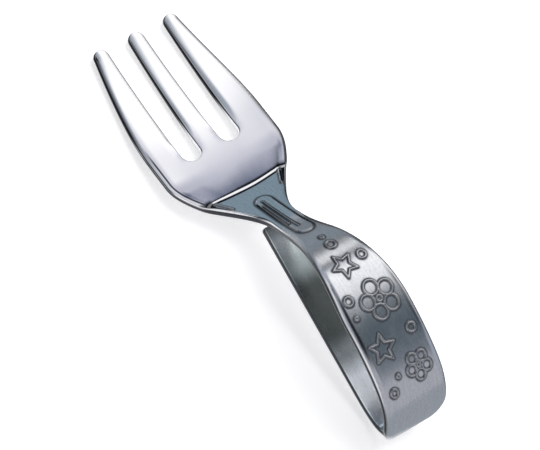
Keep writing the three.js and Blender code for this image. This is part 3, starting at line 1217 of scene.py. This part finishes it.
@dataclass(frozen=True)
class SteelFinish:
    """One finish of the stainless sheet."""

    name: str
    colour: Triple
    # Colours along the inner face, with light and shade painted into them on the satin loop
    inner_tones_and_painted_light: tuple[tuple[float, Triple], ...]
    rim_shade_depth: float
    tone_depth: float
    grain_from: float
    smear: float
    scratch: float
    bump: float
    # The painted shade on walls and folds, which stands in for their dark reflections
    wall_shade_colour: Triple = (0.038, 0.041, 0.047)
    # How dark the painted shade at the foot of raised lines is
    foot_shade_depth: float = 0.90
    fresh_roughness: float = 0.05
    worn_roughness: float = 0.21
    grain_rise: float = 1.0 * MM
    inner_blend: float = 0.2 * MM
    bump_distance: float = 0.02 * MM
    # The rim's painted dark lines, which stand in for dark reflections: their stretch along the strip, and
    # depths inside the left and the right side
    rim_rise: Pair = (19.0 * MM, 24.0 * MM)
    rim_fall: Pair = (35.0 * MM, 36.0 * MM)
    left_rise: Pair = (0.58 * MM, 0.76 * MM)
    left_fall: Pair = (0.92 * MM, 1.10 * MM)
    right_fall: Pair = (0.72 * MM, 0.50 * MM)
    right_stretch: Pair = (22.0 * MM, 28.0 * MM)
    side_blend: float = 1.0 * MM
    face_blend: float = 0.3 * MM

    def material(self, effects: SteelEffects) -> bpy.types.Material:
        """Builds the procedural material.

        Args:
            effects: The shared shader groups.

        Returns:
            The material.
        """
        steel = bpy.data.materials.new(self.name)
        steel.use_nodes = True
        bench = NodeBench(steel.node_tree)
        strip = bench.attribute("strip")["Vector"]
        split = bench.split(strip)
        ground = bench.ease(split[0], self.grain_from, self.grain_from + self.grain_rise)
        tone = bench.product(ground, self.tone_depth)
        grain = bench.group(effects.grain, {"Strip": strip, "Tone Depth": tone})
        marks = bench.group(effects.handling, {"Strip": strip, "Smear": self.smear, "Scratch": self.scratch})
        inner = bench.ease(split[2], self.inner_blend, -self.inner_blend)
        # The inner face takes its run of colours, with painted light and shade on the satin loop
        faces = bench.blend(inner, self.colour, bench.ramp(split[0], self.inner_tones_and_painted_light))
        # Painted shade at the feet of raised lines
        shade = bench.product(bench.attribute("foot_shade")["Fac"], self.foot_shade_depth)
        # Painted dark lines beside the rim
        shade = bench.maths("MAXIMUM", shade, self._painted_rim_lines(bench, split))
        # Painted shade on the walls and folds
        shade = bench.maths("MAXIMUM", bench.attribute("wall")["Fac"], shade)
        toned = bench.add("ShaderNodeVectorMath")
        toned.operation = "SCALE"
        bench.fill(toned, {0: bench.blend(shade, faces, self.wall_shade_colour), "Scale": grain["Tone"]})
        worn = bench.product(bench.attribute("satin")["Fac"], self.worn_roughness - self.fresh_roughness)
        worn = bench.maths("ADD", worn, self.fresh_roughness)
        relief = {"Strength": self.bump, "Distance": self.bump_distance, "Height": grain["Height"]}
        look = {
            "Metallic": 1.0,
            "Base Color": toned.outputs[0],
            "Roughness": bench.maths("ADD", worn, marks["Roughness Added"]),
            "Normal": bench.add("ShaderNodeBump", relief).outputs["Normal"],
        }
        bench.fill(steel.node_tree.nodes["Principled BSDF"], look)
        return steel

    def _painted_rim_lines(self, bench: NodeBench, split: bpy.types.bpy_prop_collection) -> Socket:
        """Adds the painted dark lines beside the bowl's polished rim, which stand in for its dark
        reflections.

        Args:
            bench: The material's tree.
            split: The sockets with along, across and height.

        Returns:
            The socket with their amount, from 0 to 1.
        """
        along, across, height = split
        depth = bench.attribute("rim")["Fac"]
        left = bench.window(depth, self.left_rise, self.left_fall)
        left = bench.product(left, bench.ease(across, 0.0, self.side_blend))
        right = bench.product(bench.ease(depth, *self.right_fall), bench.ease(across, 0.0, -self.side_blend))
        right = bench.product(right, bench.ease(along, *self.right_stretch))
        both = bench.product(bench.maths("MAXIMUM", left, right), bench.ease(height, 0.0, self.face_blend))
        return bench.product(both, bench.window(along, self.rim_rise, self.rim_fall), self.rim_shade_depth)


POLISHED = SteelFinish(
    name="polished_steel",
    colour=(0.80, 0.80, 0.815),
    # The inner face a little darker than the outer, and darker further along
    inner_tones_and_painted_light=((0.0 * MM, (0.76, 0.765, 0.785)), (50.0 * MM, (0.72, 0.725, 0.745))),
    # How dark the painted lines beside the rim are
    rim_shade_depth=0.97,
    tone_depth=0.75,
    grain_from=35.8 * MM,
    smear=0.02,
    scratch=0.03,
    bump=0.05,
)
SATIN = SteelFinish(
    name="satin_steel",
    # Painted light and shade along the inner face: bright stops are painted highlights, dark stops painted
    # shade, darkest under the neck at the free end
    colour=(0.71, 0.715, 0.735),
    inner_tones_and_painted_light=(
        (50.0 * MM, (0.66, 0.66, 0.67)),
        (80.0 * MM, (0.76, 0.76, 0.77)),
        (100.0 * MM, (0.51, 0.55, 0.61)),
        (104.0 * MM, (0.45, 0.51, 0.58)),
        (108.0 * MM, (0.92, 0.95, 1.00)),
        (112.0 * MM, (0.90, 0.94, 1.00)),
        (117.0 * MM, (0.27, 0.30, 0.315)),
        (121.0 * MM, (0.086, 0.098, 0.096)),
        (130.0 * MM, (0.088, 0.098, 0.096)),
        (134.6 * MM, (0.37, 0.415, 0.42)),
        (139.4 * MM, (0.63, 0.68, 0.67)),
        (141.6 * MM, (0.40, 0.42, 0.41)),
        (143.4 * MM, (0.13, 0.13, 0.13)),
    ),
    rim_shade_depth=0.0,
    tone_depth=0.58,
    grain_from=0.0 * MM,
    smear=0.04,
    scratch=0.06,
    bump=0.30,
)


@dataclass(frozen=True)
class BlankSpots:
    """Points of the flat blank, with what tells a wall or a fold from a face.

    Heights are shares of the half thickness, and depths are distances inside the strip's sides.
    """

    along: np.ndarray
    across: np.ndarray
    height: np.ndarray
    depth: np.ndarray
    outer: np.ndarray


@dataclass
class PaintedWallShade:
    """Finds where the walls and folds take painted shade, dark colour that stands in for their dark
    reflections, except round the bowl.

    A pair says where a zone starts to show, or to fade, and where it has done so.
    """

    line: MidLine
    side_reach: float = 1.5 * MM
    # Along the strip, from the tips
    slot_walls: Pair = (23.0 * MM, 17.0 * MM)
    tine_walls: Pair = (26.0 * MM, 16.0 * MM)
    tips: Pair = (0.8 * MM, 0.25 * MM)
    high_feet: Pair = (17.0 * MM, 24.0 * MM)
    right_side: Pair = (8.0 * MM, 24.0 * MM)
    # Along the strip, from the heel's top and from its foot
    heel_fade: Pair = (-2.0 * MM, 2.0 * MM)
    strap_walls: Pair = (-2.0 * MM, 4.0 * MM)
    # Along the strip, from the crease
    band: Pair = (14.0 * MM, 22.0 * MM)
    shoulder_rise: Pair = (0.5 * MM, 1.5 * MM)
    shoulder_fall: Pair = (5.0 * MM, 7.0 * MM)
    fold_rise: Pair = (-0.9 * MM, -0.1 * MM)
    fold_fall: Pair = (1.4 * MM, 2.4 * MM)
    border_rise: Pair = (31.0 * MM, 36.0 * MM)
    border_fall: Pair = (43.0 * MM, 48.0 * MM)
    # Across the strip
    corner_from: Pair = (6.9 * MM, 7.4 * MM)
    corner_fade: Pair = (7.4 * MM, 7.8 * MM)
    # Depths of the bevel's border
    border_start: Pair = (0.50 * MM, 0.80 * MM)
    border_end: Pair = (1.0 * MM, 1.30 * MM)
    # Heights
    wall_top: Pair = (0.64, 0.91)
    tip_top: Pair = (0.76, 0.97)
    foot_top: Pair = (0.3, 0.0)
    high_foot_top: Pair = (0.6, 0.35)
    foot_low: Pair = (0.75, 0.95)
    right_top: Pair = (0.82, 0.97)
    band_top: Pair = (0.6, 0.85)
    corner_low: Pair = (0.6, 0.85)
    border_low: float = 0.3
    # Amounts
    right_amount: float = 0.9
    shoulder_relief: float = 0.5
    corner_amount: float = 0.85
    right_corner: float = 0.62
    border_amount: float = 0.8

    def amount(self, flat: np.ndarray) -> np.ndarray:
        """Gives how much painted shade the sheet takes.

        Args:
            flat: Points of the flat blank.

        Returns:
            From 0 on the faces to 1 on a wall in full painted shade.
        """
        along = -flat[:, 0]
        height = flat[:, 2] / (self.line.thickness(along) / 2)
        outer = self.line.half_width(along) - np.abs(flat[:, 1]) < self.side_reach
        spots = BlankSpots(along, flat[:, 1], height, self.line.depth(flat), outer)
        # Each zone is painted shade, standing in for dark reflections
        zones = (self._edges, self._feet, self._right, self._corners, self._border)
        return np.maximum.reduce([zone(spots) for zone in zones])

    def _from_crease(self, along: np.ndarray, rise: Pair, fall: Pair) -> np.ndarray:
        """Returns a share that rises and falls at spans behind the crease."""
        crease = self.line.sizes.head_length
        return window(along, span_at(crease, rise), span_at(crease, fall))

    def _to_heel(self, along: np.ndarray, rise: Pair) -> np.ndarray:
        """Returns a share that rises over a span from the tips and falls at the heel's top."""
        return window(along, rise, span_at(self.line.heel_along, self.heel_fade))

    @staticmethod
    def _between(height: np.ndarray, first: Pair, second: Pair, share: np.ndarray) -> np.ndarray:
        """Returns an eased step in height whose ends lie a share of the way from first to second."""
        return smoothstep(height, mix(first[0], second[0], share), mix(first[1], second[1], share))

    def _edges(self, spots: BlankSpots) -> np.ndarray:
        """Gives how much painted shade the walls of the tines, the slots and the strap take.

        Args:
            spots: Points of the flat blank.

        Returns:
            The amount at each.
        """
        sides = smoothstep(spots.along, *self.tine_walls)
        tines = np.where(spots.outer, sides, smoothstep(spots.along, *self.slot_walls))
        strap = smoothstep(spots.along, *span_at(self.line.foot_along, self.strap_walls))
        tip = smoothstep(spots.along, *self.tips)
        face = self._between(np.abs(spots.height), self.wall_top, self.tip_top, tip)
        return np.maximum(tines, strap) * (1 - face)

    def _feet(self, spots: BlankSpots) -> np.ndarray:
        """Gives how much painted shade the lower parts of the outer sides take.

        Args:
            spots: Points of the flat blank.

        Returns:
            The amount at each.
        """
        high = self._to_heel(spots.along, self.high_feet)
        foot = self._between(spots.height, self.foot_top, self.high_foot_top, high)
        return np.where(spots.outer, foot, 0.0) * (1 - smoothstep(-spots.height, *self.foot_low))

    def _right(self, spots: BlankSpots) -> np.ndarray:
        """Gives how much painted shade the upper part of the right side takes, less at the neck's shoulder.

        Args:
            spots: Points of the flat blank.

        Returns:
            The amount at each.
        """
        seen = spots.outer & (spots.across < 0) & (spots.height > 0)
        right = np.where(seen, smoothstep(spots.along, *self.right_side), 0.0)
        band = self._to_heel(spots.along, span_at(self.line.sizes.head_length, self.band))
        face = self._between(np.abs(spots.height), self.right_top, self.band_top, band)
        shoulder = self._from_crease(spots.along, self.shoulder_rise, self.shoulder_fall)
        return self.right_amount * right * (1 - face) * (1 - self.shoulder_relief * shoulder)

    def _corners(self, spots: BlankSpots) -> np.ndarray:
        """Gives how much painted shade the ends of the fold take.

        Args:
            spots: Points of the flat blank.

        Returns:
            The amount at each.
        """
        across = np.abs(spots.across)
        fold = self._from_crease(spots.along, self.fold_rise, self.fold_fall)
        corner = fold * smoothstep(across, *self.corner_from) * smoothstep(spots.height, *self.corner_low)
        beyond = mix(1.0, self.right_corner, smoothstep(across, *self.corner_fade))
        return self.corner_amount * corner * np.where(spots.across < 0, beyond, 1.0)

    def _border(self, spots: BlankSpots) -> np.ndarray:
        """Gives how much painted shade the border of the grip's bevel takes, as a dark line.

        Args:
            spots: Points of the flat blank.

        Returns:
            The amount at each.
        """
        line = window(spots.depth, self.border_start, self.border_end) * (spots.height > self.border_low)
        return self.border_amount * line * self._from_crease(spots.along, self.border_rise, self.border_fall)


@dataclass
class ForkStamping:
    """The bent stamping, in its polished head and its satin loop."""

    line: MidLine
    # From the join: where the satin starts and is reached, and where the bend's dulling rises and falls
    satin_span: Pair = (-7.0 * MM, 6.0 * MM)
    bend_rise: Pair = (-1.0 * MM, 4.0 * MM)
    bend_fall: Pair = (8.0 * MM, 13.0 * MM)
    bend_dulling: float = 0.8
    cut_tolerance: float = 1e-8
    head: bpy.types.Object | None = None
    loop: bpy.types.Object | None = None

    def build(self, effects: SteelEffects) -> None:
        """Makes the two pieces from one blank.

        Args:
            effects: The shared shader groups.
        """
        polished = POLISHED.material(effects)
        satin = SATIN.material(effects)
        relief = BandRelief(self.line)
        raised = relief.apply(FlatBlank(self.line, relief.places).build(), satin)
        shift = self._set_down(raised)
        self.head = self._cut(raised, "polished_head", True, polished, shift)
        self.loop = self._cut(raised, "satin_loop", False, satin, shift)
        bpy.data.meshes.remove(raised)

    @property
    def join(self) -> float:
        """Returns how far from the tips the two pieces meet."""
        return self.line.sizes.head_length + self.line.sizes.join_at

    @staticmethod
    def _points(mesh: bpy.types.Mesh) -> np.ndarray:
        """Reads a mesh's points.

        Args:
            mesh: The mesh.

        Returns:
            A row of x, y and z for each point.
        """
        flat = np.empty(len(mesh.vertices) * 3)
        mesh.vertices.foreach_get("co", flat)
        return flat.reshape(-1, 3)

    def _set_down(self, raised: bpy.types.Mesh) -> np.ndarray:
        """Finds the move that sets the bent fork where the solids are.

        Args:
            raised: The whole flat blank.

        Returns:
            The move.
        """
        bent = self.line.place(self._points(raised))
        low, high = bent.min(axis=0), bent.max(axis=0)
        middle = (CAD_BOX[0][0] + CAD_BOX[1][0] - low[0] - high[0]) / 2
        return np.array([middle, 0.0, CAD_BOX[0][2] - low[2]])

    def _cut(
        self, raised: bpy.types.Mesh, name: str, ahead: bool, steel: bpy.types.Material, shift: np.ndarray
    ) -> bpy.types.Object:
        """Cuts one piece from the blank at the join, closes it and bends it.

        Args:
            raised: The whole flat blank.
            name: The piece's name.
            ahead: Whether the piece is the part ahead of the cut.
            steel: The piece's finish.
            shift: The move that sets the bent fork in place.

        Returns:
            The piece.
        """
        work = bmesh.new()
        work.from_mesh(raised)
        cut = bmesh.ops.bisect_plane(
            work,
            geom=work.verts[:] + work.edges[:] + work.faces[:],
            dist=self.cut_tolerance,
            plane_co=(-self.join, 0.0, 0.0),
            plane_no=(1.0, 0.0, 0.0),
            clear_outer=not ahead,
            clear_inner=ahead,
        )
        rim = [e for e in cut["geom_cut"] if isinstance(e, bmesh.types.BMEdge)]
        cap = bmesh.ops.contextual_create(work, geom=rim)["faces"]
        bmesh.ops.triangulate(work, faces=cap)
        for edge in rim:
            edge.smooth = False
        for face in work.faces:
            face.smooth = True
            face.material_index = 0
        bmesh.ops.recalc_face_normals(work, faces=work.faces[:])
        mesh = bpy.data.meshes.new(name)
        work.to_mesh(mesh)
        work.free()
        flat = self._points(mesh)
        self._mark(mesh, flat)
        mesh.vertices.foreach_set("co", (self.line.place(flat) + shift).ravel())
        mesh.materials.clear()
        mesh.materials.append(steel)
        mesh.update()
        piece = bpy.data.objects.new(name, mesh)
        bpy.context.scene.collection.objects.link(piece)
        return piece

    def _mark(self, mesh: bpy.types.Mesh, flat: np.ndarray) -> None:
        """Writes where each point lay on the flat blank, how worn it is and how much painted shade it takes,
        for the finishes.

        Args:
            mesh: The piece's mesh.
            flat: Its points before the bend.
        """
        along = -flat[:, 0]
        strip = mesh.attributes.new("strip", "FLOAT_VECTOR", "POINT")
        strip.data.foreach_set("vector", np.stack([along, flat[:, 1], flat[:, 2]], -1).ravel())
        bend = window(along, span_at(self.join, self.bend_rise), span_at(self.join, self.bend_fall))
        worn = smoothstep(along, *span_at(self.join, self.satin_span)) + self.bend_dulling * bend
        # The wall mark is painted shade on the walls and folds, standing in for their dark reflections
        marks = {"satin": worn, "wall": PaintedWallShade(self.line).amount(flat), "rim": self.line.depth(flat)}
        for name, values in marks.items():
            mesh.attributes.new(name, "FLOAT", "POINT").data.foreach_set("value", values)

    def dress(self) -> list[bpy.types.Object]:
        """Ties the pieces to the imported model.

        Returns:
            The pieces.
        """
        ties = ((self.head, "fork_head", "polished_steel"), (self.loop, "loop_handle", "satin_steel"))
        for piece, node, slot in ties:
            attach(piece, "root")
            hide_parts(node)
        return [self.head, self.loop]


# The least share over which a card's edge softens
LEAST_FADE = 0.001


def card_paint(name: str, tone: CardTone, fades: Fades) -> bpy.types.Material:
    """Makes a card's tone, which fades out at its edges.

    Args:
        name: The material's name.
        tone: What the card shows.
        fades: The shares of the card over which its start, end, lower and upper edges soften.

    Returns:
        The material.
    """
    paint = bpy.data.materials.new(name)
    paint.use_nodes = True
    paint.node_tree.nodes.clear()
    bench = NodeBench(paint.node_tree)
    spot = bench.add("ShaderNodeUVMap")
    spot.uv_map = "card"
    split = bench.split(spot.outputs[0])
    near, far, low, high = (max(fade, LEAST_FADE) for fade in fades)
    wide = bench.window(split[0], (0.0, near), (1.0 - far, 1.0))
    tall = bench.window(split[1], (0.0, low), (1.0 - high, 1.0))
    clear = bench.add("ShaderNodeBsdfTransparent").outputs[0]
    glow = bench.add("ShaderNodeEmission", {"Color": (*tone.value, 1.0)}).outputs[0]
    soft = bench.add("ShaderNodeMixShader", {0: bench.product(wide, tall), 1: clear, 2: glow})
    bench.add("ShaderNodeOutputMaterial", {"Surface": soft.outputs[0]})
    return paint


def stand_card(
    name: str,
    paint: bpy.types.Material,
    points: list[Triple],
    faces: list[tuple[int, ...]],
    shares: list[Pair],
) -> bpy.types.Object:
    """Stands a card in the studio, where only reflections see it.

    Args:
        name: The card's name.
        paint: Its material.
        points: Its points.
        faces: Its faces.
        shares: How far along and up the card each point is, from 0 to 1.

    Returns:
        The card.
    """
    mesh = bpy.data.meshes.new(name)
    mesh.from_pydata(points, [], faces)
    layout = mesh.uv_layers.new(name="card")
    for loop, spot in zip(mesh.loops, layout.data):
        spot.uv = shares[loop.vertex_index]
    mesh.materials.append(paint)
    card = bpy.data.objects.new(name, mesh)
    bpy.context.scene.collection.objects.link(card)
    card.visible_camera = False
    card.visible_diffuse = False
    card.visible_shadow = False
    card.visible_transmission = False
    return card


@dataclass(frozen=True)
class ReflectionCard:
    """A soft-edged studio card round the fork, which only the metal's reflections see.

    Its lower and upper edges are runs of directions, each an azimuth and an elevation in degrees.
    The fades are the shares of the card over which its start, end, lower and upper edges soften.
    """

    name: str
    tone: CardTone
    lower: Run
    upper: Run
    fades: Fades
    distance: float
    cells: int = 40

    def build(self) -> bpy.types.Object:
        """Makes the card, curved round the fork.

        Returns:
            The card.
        """
        edges = np.radians(self.lower), np.radians(self.upper)
        stops = np.linspace(0.0, 1.0, len(self.lower))
        row = self.cells + 1
        shares = [(i / self.cells, j / self.cells) for j in range(row) for i in range(row)]
        points = []
        for a, b in shares:
            foot, top = ([np.interp(a, stops, edge[:, k]) for k in (0, 1)] for edge in edges)
            az, el = mix(foot[0], top[0], b), mix(foot[1], top[1], b)
            way = (math.cos(el) * math.cos(az), math.cos(el) * math.sin(az), math.sin(el))
            points.append(tuple(self.distance * w for w in way))
        corners = [j * row + i for j in range(self.cells) for i in range(self.cells)]
        faces = [(c, c + 1, c + row + 1, c + row) for c in corners]
        return stand_card(self.name, card_paint(self.name, self.tone, self.fades), points, faces, shares)


def panel(
    name: str,
    tone: CardTone,
    azimuths: tuple[float, ...],
    foot: tuple[float, ...],
    top: tuple[float, ...],
    fades: Fades,
    distance: float,
    cells: int = 16,
) -> ReflectionCard:
    """Describes a card whose upper edge stands straight over its lower edge.

    Args:
        name: The card's name.
        tone: What it shows.
        azimuths: Directions along it, in degrees.
        foot: The elevations of its lower edge there.
        top: The elevations of its upper edge there.
        fades: The shares over which its start, end, lower and upper edges soften.
        distance: How far from the fork it stands.
        cells: How many cells it has each way.

    Returns:
        The card.
    """
    lower, upper = tuple(zip(azimuths, foot)), tuple(zip(azimuths, top))
    return ReflectionCard(name, tone, lower, upper, fades, distance, cells)


@dataclass(frozen=True)
class TableFlag:
    """The dark table round the white sheet that the fork lies on, which only reflections see."""

    name: str = "table_flag"
    tone: CardTone = CardTone.TABLE
    middle: Pair = (0.0065, 0.0040)
    half_length: float = 0.0490
    half_width: float = 0.017
    fade: float = 0.006
    reach: float = 0.5
    lift: float = 0.05 * MM
    sides: int = 72
    # The table fades in over the lower half of its shares, from the opening to the second ring
    fades: Fades = (0.0, 0.0, 0.5, 0.0)

    def build(self) -> bpy.types.Object:
        """Makes the flag with a soft-edged opening for the sheet.

        Returns:
            The flag.
        """
        rings = (0.0, self.fade, self.reach)
        points = []
        for grow in rings:
            for i in range(self.sides):
                a = 2 * math.pi * i / self.sides
                x = self.middle[0] + (self.half_length + grow) * math.cos(a)
                y = self.middle[1] + (self.half_width + grow) * math.sin(a)
                points.append((x, y, self.lift))
        faces = []
        for ring in range(len(rings) - 1):
            for i in range(self.sides):
                j = (i + 1) % self.sides
                faces.append(tuple(ring * self.sides + k for k in (i, j, j + self.sides, i + self.sides)))
        half = self.fades[2]
        shares = [(half, 0.0 if index < self.sides else half) for index in range(len(points))]
        return stand_card(self.name, card_paint(self.name, self.tone, self.fades), points, faces, shares)


@dataclass(frozen=True)
class FloorFlag:
    """A dark cloth on the table beside the sheet, which only reflections see."""

    name: str = "right_cloth"
    tone: CardTone = CardTone.BLACK
    near: Pair = (-0.046, -0.0140)
    far: Pair = (0.060, -0.1400)
    fades: Fades = (0.03, 0.03, 0.02, 0.4)
    lift: float = 0.10 * MM

    def build(self) -> bpy.types.Object:
        """Makes the cloth between two corners.

        Returns:
            The cloth.
        """
        (x0, y0), (x1, y1) = self.near, self.far
        points = [(x, y, self.lift) for x, y in ((x0, y0), (x1, y0), (x1, y1), (x0, y1))]
        shares = [(0, 0), (1, 0), (1, 1), (0, 1)]
        paint = card_paint(self.name, self.tone, self.fades)
        return stand_card(self.name, paint, points, [(0, 1, 2, 3)], shares)


# The runs of directions in which the fold at the bowl's foot mirrors the front of the studio
HAZE_TOP = (
    (20, 65), (-18, 64.5), (-27, 64.3), (-31, 64.2), (-35, 63.8), (-39.5, 62.3),
    (-44, 58), (-48.5, 54.3), (-52.5, 49.5), (-55.5, 43.5), (-56.5, 32),
)
DUSK_TOP = (
    (20, 54.4), (-18, 53.8), (-26.5, 54.2), (-30.5, 54.7), (-34.3, 54.5), (-38.8, 53.0),
    (-42.2, 50.1), (-44.6, 47.0), (-47.0, 43.1), (-47.9, 38.3), (-48.4, 30),
)
BROW_TOP = (
    (20, 53.8), (-18, 53), (-26, 52.7), (-30, 52.2), (-33.5, 51.5), (-37.5, 50.3),
    (-41, 48), (-43.4, 44.9), (-45.4, 41.8), (-46.1, 37.3), (-46.6, 30),
)
BROW_FOOT = (
    (20, 46), (-15.5, 45.6), (-23, 45), (-26, 43.5), (-28.6, 42.2), (-33, 42.2),
    (-37.8, 42.4), (-40.6, 41), (-43.2, 38.4), (-44, 35), (-44.5, 28),
)
STRIP_FOOT = (
    (20, 31), (-11, 30.5), (-20, 30), (-22.5, 28.8), (-24.7, 27.6), (-28.2, 28.5),
    (-31.9, 29.6), (-35, 29), (-38, 28.2), (-39, 24), (-40, 17),
)
UNDER_FOOT = (
    (20, 16), (-8, 16), (-18.5, 16.5), (-21, 16), (-23, 15.5), (-26, 15.5),
    (-28.8, 14.5), (-31.5, 12), (-34, 9.5), (-36, 6), (-38, 2),
)

# The cards' names, tones, directions, fades and distances
CARDS = (
    panel("room", CardTone.GREY, (-180, 180), (-3, -3), (90, 90), (0, 0, 0, 0), 0.90, 32),
    panel("key_panel", CardTone.GLARE, (-10, -118), (30, 30), (78, 78), (0.25, 0.14, 0.1, 0.34), 0.60),
    panel("side_panel", CardTone.WHITE, (-60, -104), (6, 6), (40, 40), (0.15, 0.3, 0.1, 0.1), 0.61),
    panel("rear_card", CardTone.MIST, (-138, -215), (-3, -3), (66, 66), (0.15, 0.2, 0, 0.2), 0.62),
    panel("rear_flag", CardTone.SLATE, (-104, -156), (34, 34), (80, 80), (0.25, 0.2, 0.25, 0.15), 0.56),
    ReflectionCard("haze", CardTone.HAZE, BROW_FOOT, HAZE_TOP, (0.1, 0.08, 0, 0.55), 0.542),
    ReflectionCard("dusk", CardTone.DUSK, BROW_FOOT, DUSK_TOP, (0.1, 0.08, 0, 0.28), 0.540),
    ReflectionCard("brow_flag", CardTone.BLACK, BROW_FOOT, BROW_TOP, (0.1, 0.06, 0.05, 0.2), 0.49),
    ReflectionCard("strip_light", CardTone.WHITE, STRIP_FOOT, BROW_FOOT, (0.1, 0.06, 0.12, 0.05), 0.50),
    ReflectionCard("under_flag", CardTone.BLACK, UNDER_FOOT, STRIP_FOOT, (0.1, 0.06, 0.2, 0.06), 0.51),
    panel("front_card", CardTone.BLUE_GREY, (8, -46), (-2, -2), (34, 29), (0.12, 0.12, 0.01, 0.1), 0.53),
    panel("right_flag", CardTone.BLACK, (-42, -68), (-2, -2), (24, 20), (0.2, 0.2, 0.01, 0.2), 0.535),
    panel("left_flag", CardTone.BLACK, (4, 92), (-2, -2), (34, 42), (0.15, 0.15, 0.01, 0.45), 0.54),
    panel("rim_panel", CardTone.WHITE, (84, 146), (-2, -2), (44, 52), (0.15, 0.15, 0.05, 0.15), 0.56),
    panel(
        "bevel_flag",
        CardTone.BLACK,
        (-116, -140, -160, -226),
        (74, 62, 56, 55),
        (85, 85, 85, 85),
        (0.12, 0.1, 0.15, 0.1),
        0.545,
    ),
    panel("left_panel", CardTone.PEARL, (20, 115), (46, 42), (72, 72), (0.2, 0.2, 0.25, 0.15), 0.525),
    panel("hood", CardTone.BLACK, (-18, 20, 62), (70, 68, 63), (85, 88, 78), (0.12, 0.12, 0.42, 0.2), 0.52),
    panel("horizon", CardTone.BLACK, (-56, -110), (-3, -3), (7, 7), (0.1, 0.1, 0, 0.2), 0.60),
)


@dataclass
class Studio:
    """The pale floor, the soft light and the cards round the fork."""

    floor_reach: float = 3.0
    floor_drop: float = 0.02 * MM
    floor_colour: Triple = (0.90, 0.90, 0.905)
    floor_glow: float = 0.38
    sky: Triple = (0.66, 0.66, 0.67)
    key_power: float = 3.2
    key_size: float = 0.6
    key_at: Triple = (0.10, -0.36, 0.66)
    key_aim: Triple = (0.0, 0.0, 0.005)

    def build(self) -> None:
        """Makes the floor, the world, the lamp and the cards."""
        self._floor()
        self._world()
        self._key()
        for card in (TableFlag(), FloorFlag(), *CARDS):
            card.build()

    def _floor(self) -> None:
        """Makes the pale floor, which keeps the fork's shadow."""
        reach = self.floor_reach
        mesh = bpy.data.meshes.new("floor")
        corners = [(reach, reach, 0), (-reach, reach, 0), (-reach, -reach, 0), (reach, -reach, 0)]
        mesh.from_pydata(corners, [], [(0, 1, 2, 3)])
        floor = bpy.data.objects.new("floor", mesh)
        bpy.context.scene.collection.objects.link(floor)
        paint = bpy.data.materials.new("pale_floor")
        paint.use_nodes = True
        paint.node_tree.nodes.clear()
        bench = NodeBench(paint.node_tree)
        matt = bench.add("ShaderNodeBsdfDiffuse", {"Color": (*self.floor_colour, 1.0)}).outputs[0]
        path = bench.add("ShaderNodeLightPath").outputs
        seen = bench.maths("MAXIMUM", path["Is Camera Ray"], path["Is Glossy Ray"])
        seen = bench.maths("MAXIMUM", seen, path["Is Transmission Ray"])
        glow = bench.add("ShaderNodeEmission", {"Strength": bench.product(seen, self.floor_glow)}).outputs[0]
        both = bench.add("ShaderNodeAddShader", {0: matt, 1: glow}).outputs[0]
        bench.add("ShaderNodeOutputMaterial", {"Surface": both})
        mesh.materials.append(paint)
        floor.location.z = CAD_BOX[0][2] - self.floor_drop

    def _world(self) -> None:
        """Makes the even grey light of the room."""
        world = bpy.data.worlds.new("studio")
        world.use_nodes = True
        ground = world.node_tree.nodes["Background"]
        ground.inputs["Color"].default_value = (*self.sky, 1.0)
        ground.inputs["Strength"].default_value = 1.0
        bpy.context.scene.world = world

    def _key(self) -> None:
        """Hangs the softbox over the fork's right side."""
        lamp = bpy.data.lights.new("softbox", "AREA")
        lamp.shape = "SQUARE"
        lamp.size = self.key_size
        lamp.energy = self.key_power
        box = bpy.data.objects.new("softbox", lamp)
        box.location = self.key_at
        aim = Vector(self.key_aim) - Vector(self.key_at)
        box.rotation_euler = aim.to_track_quat("-Z", "Y").to_euler()
        box.visible_glossy = False
        bpy.context.scene.collection.objects.link(box)


@dataclass(frozen=True)
class PhotoCamera:
    """The photograph's viewpoint, from the fit of its outline."""

    azimuth: float = 114.099
    elevation: float = 62.517
    roll: float = 33.810
    distance: float = 0.6
    view_width: float = 93.60 * MM
    aim: Triple = (-0.0136 * MM, 0.5997 * MM, 4.6503 * MM)
    sensor: float = 36.0
    clip_start: float = 0.01

    def build(self) -> bpy.types.Object:
        """Sets up the camera and makes it the scene's own.

        Returns:
            The camera.
        """
        az, el, roll = (math.radians(v) for v in (self.azimuth, self.elevation, self.roll))
        back = Vector((math.cos(el) * math.cos(az), math.cos(el) * math.sin(az), math.sin(el)))
        level = (-back).cross(Vector((0.0, 0.0, 1.0))).normalized()
        plumb = level.cross(-back)
        right = level * math.cos(roll) + plumb * math.sin(roll)
        up = plumb * math.cos(roll) - level * math.sin(roll)
        lens = bpy.data.cameras.new("camera")
        lens.sensor_fit = "HORIZONTAL"
        lens.sensor_width = self.sensor
        lens.lens = self.sensor * self.distance / self.view_width
        lens.clip_start = self.clip_start
        camera = bpy.data.objects.new("camera", lens)
        turn = Matrix((right, up, back)).transposed().to_4x4()
        camera.matrix_world = Matrix.Translation(Vector(self.aim) + back * self.distance) @ turn
        bpy.context.scene.collection.objects.link(camera)
        bpy.context.scene.camera = camera
        return camera


def main() -> None:
    """Builds the camera, the studio and the fork."""
    logging.basicConfig(level=logging.INFO, format="%(name)s: %(message)s")
    bpy.context.scene.view_settings.view_transform = "Standard"
    PhotoCamera().build()
    Studio().build()
    line = MidLine(StripSizes())
    LOG.info("rest tilt %.2f degrees, strip %.1f mm long", math.degrees(line.tilt), line.end_along / MM)
    fork = ForkStamping(line)
    fork.build(SteelEffects())
    for piece in fork.dress():
        LOG.info("%s: %d faces, %d points", piece.name, len(piece.data.polygons), len(piece.data.vertices))


if __name__ == "__main__":
    main()
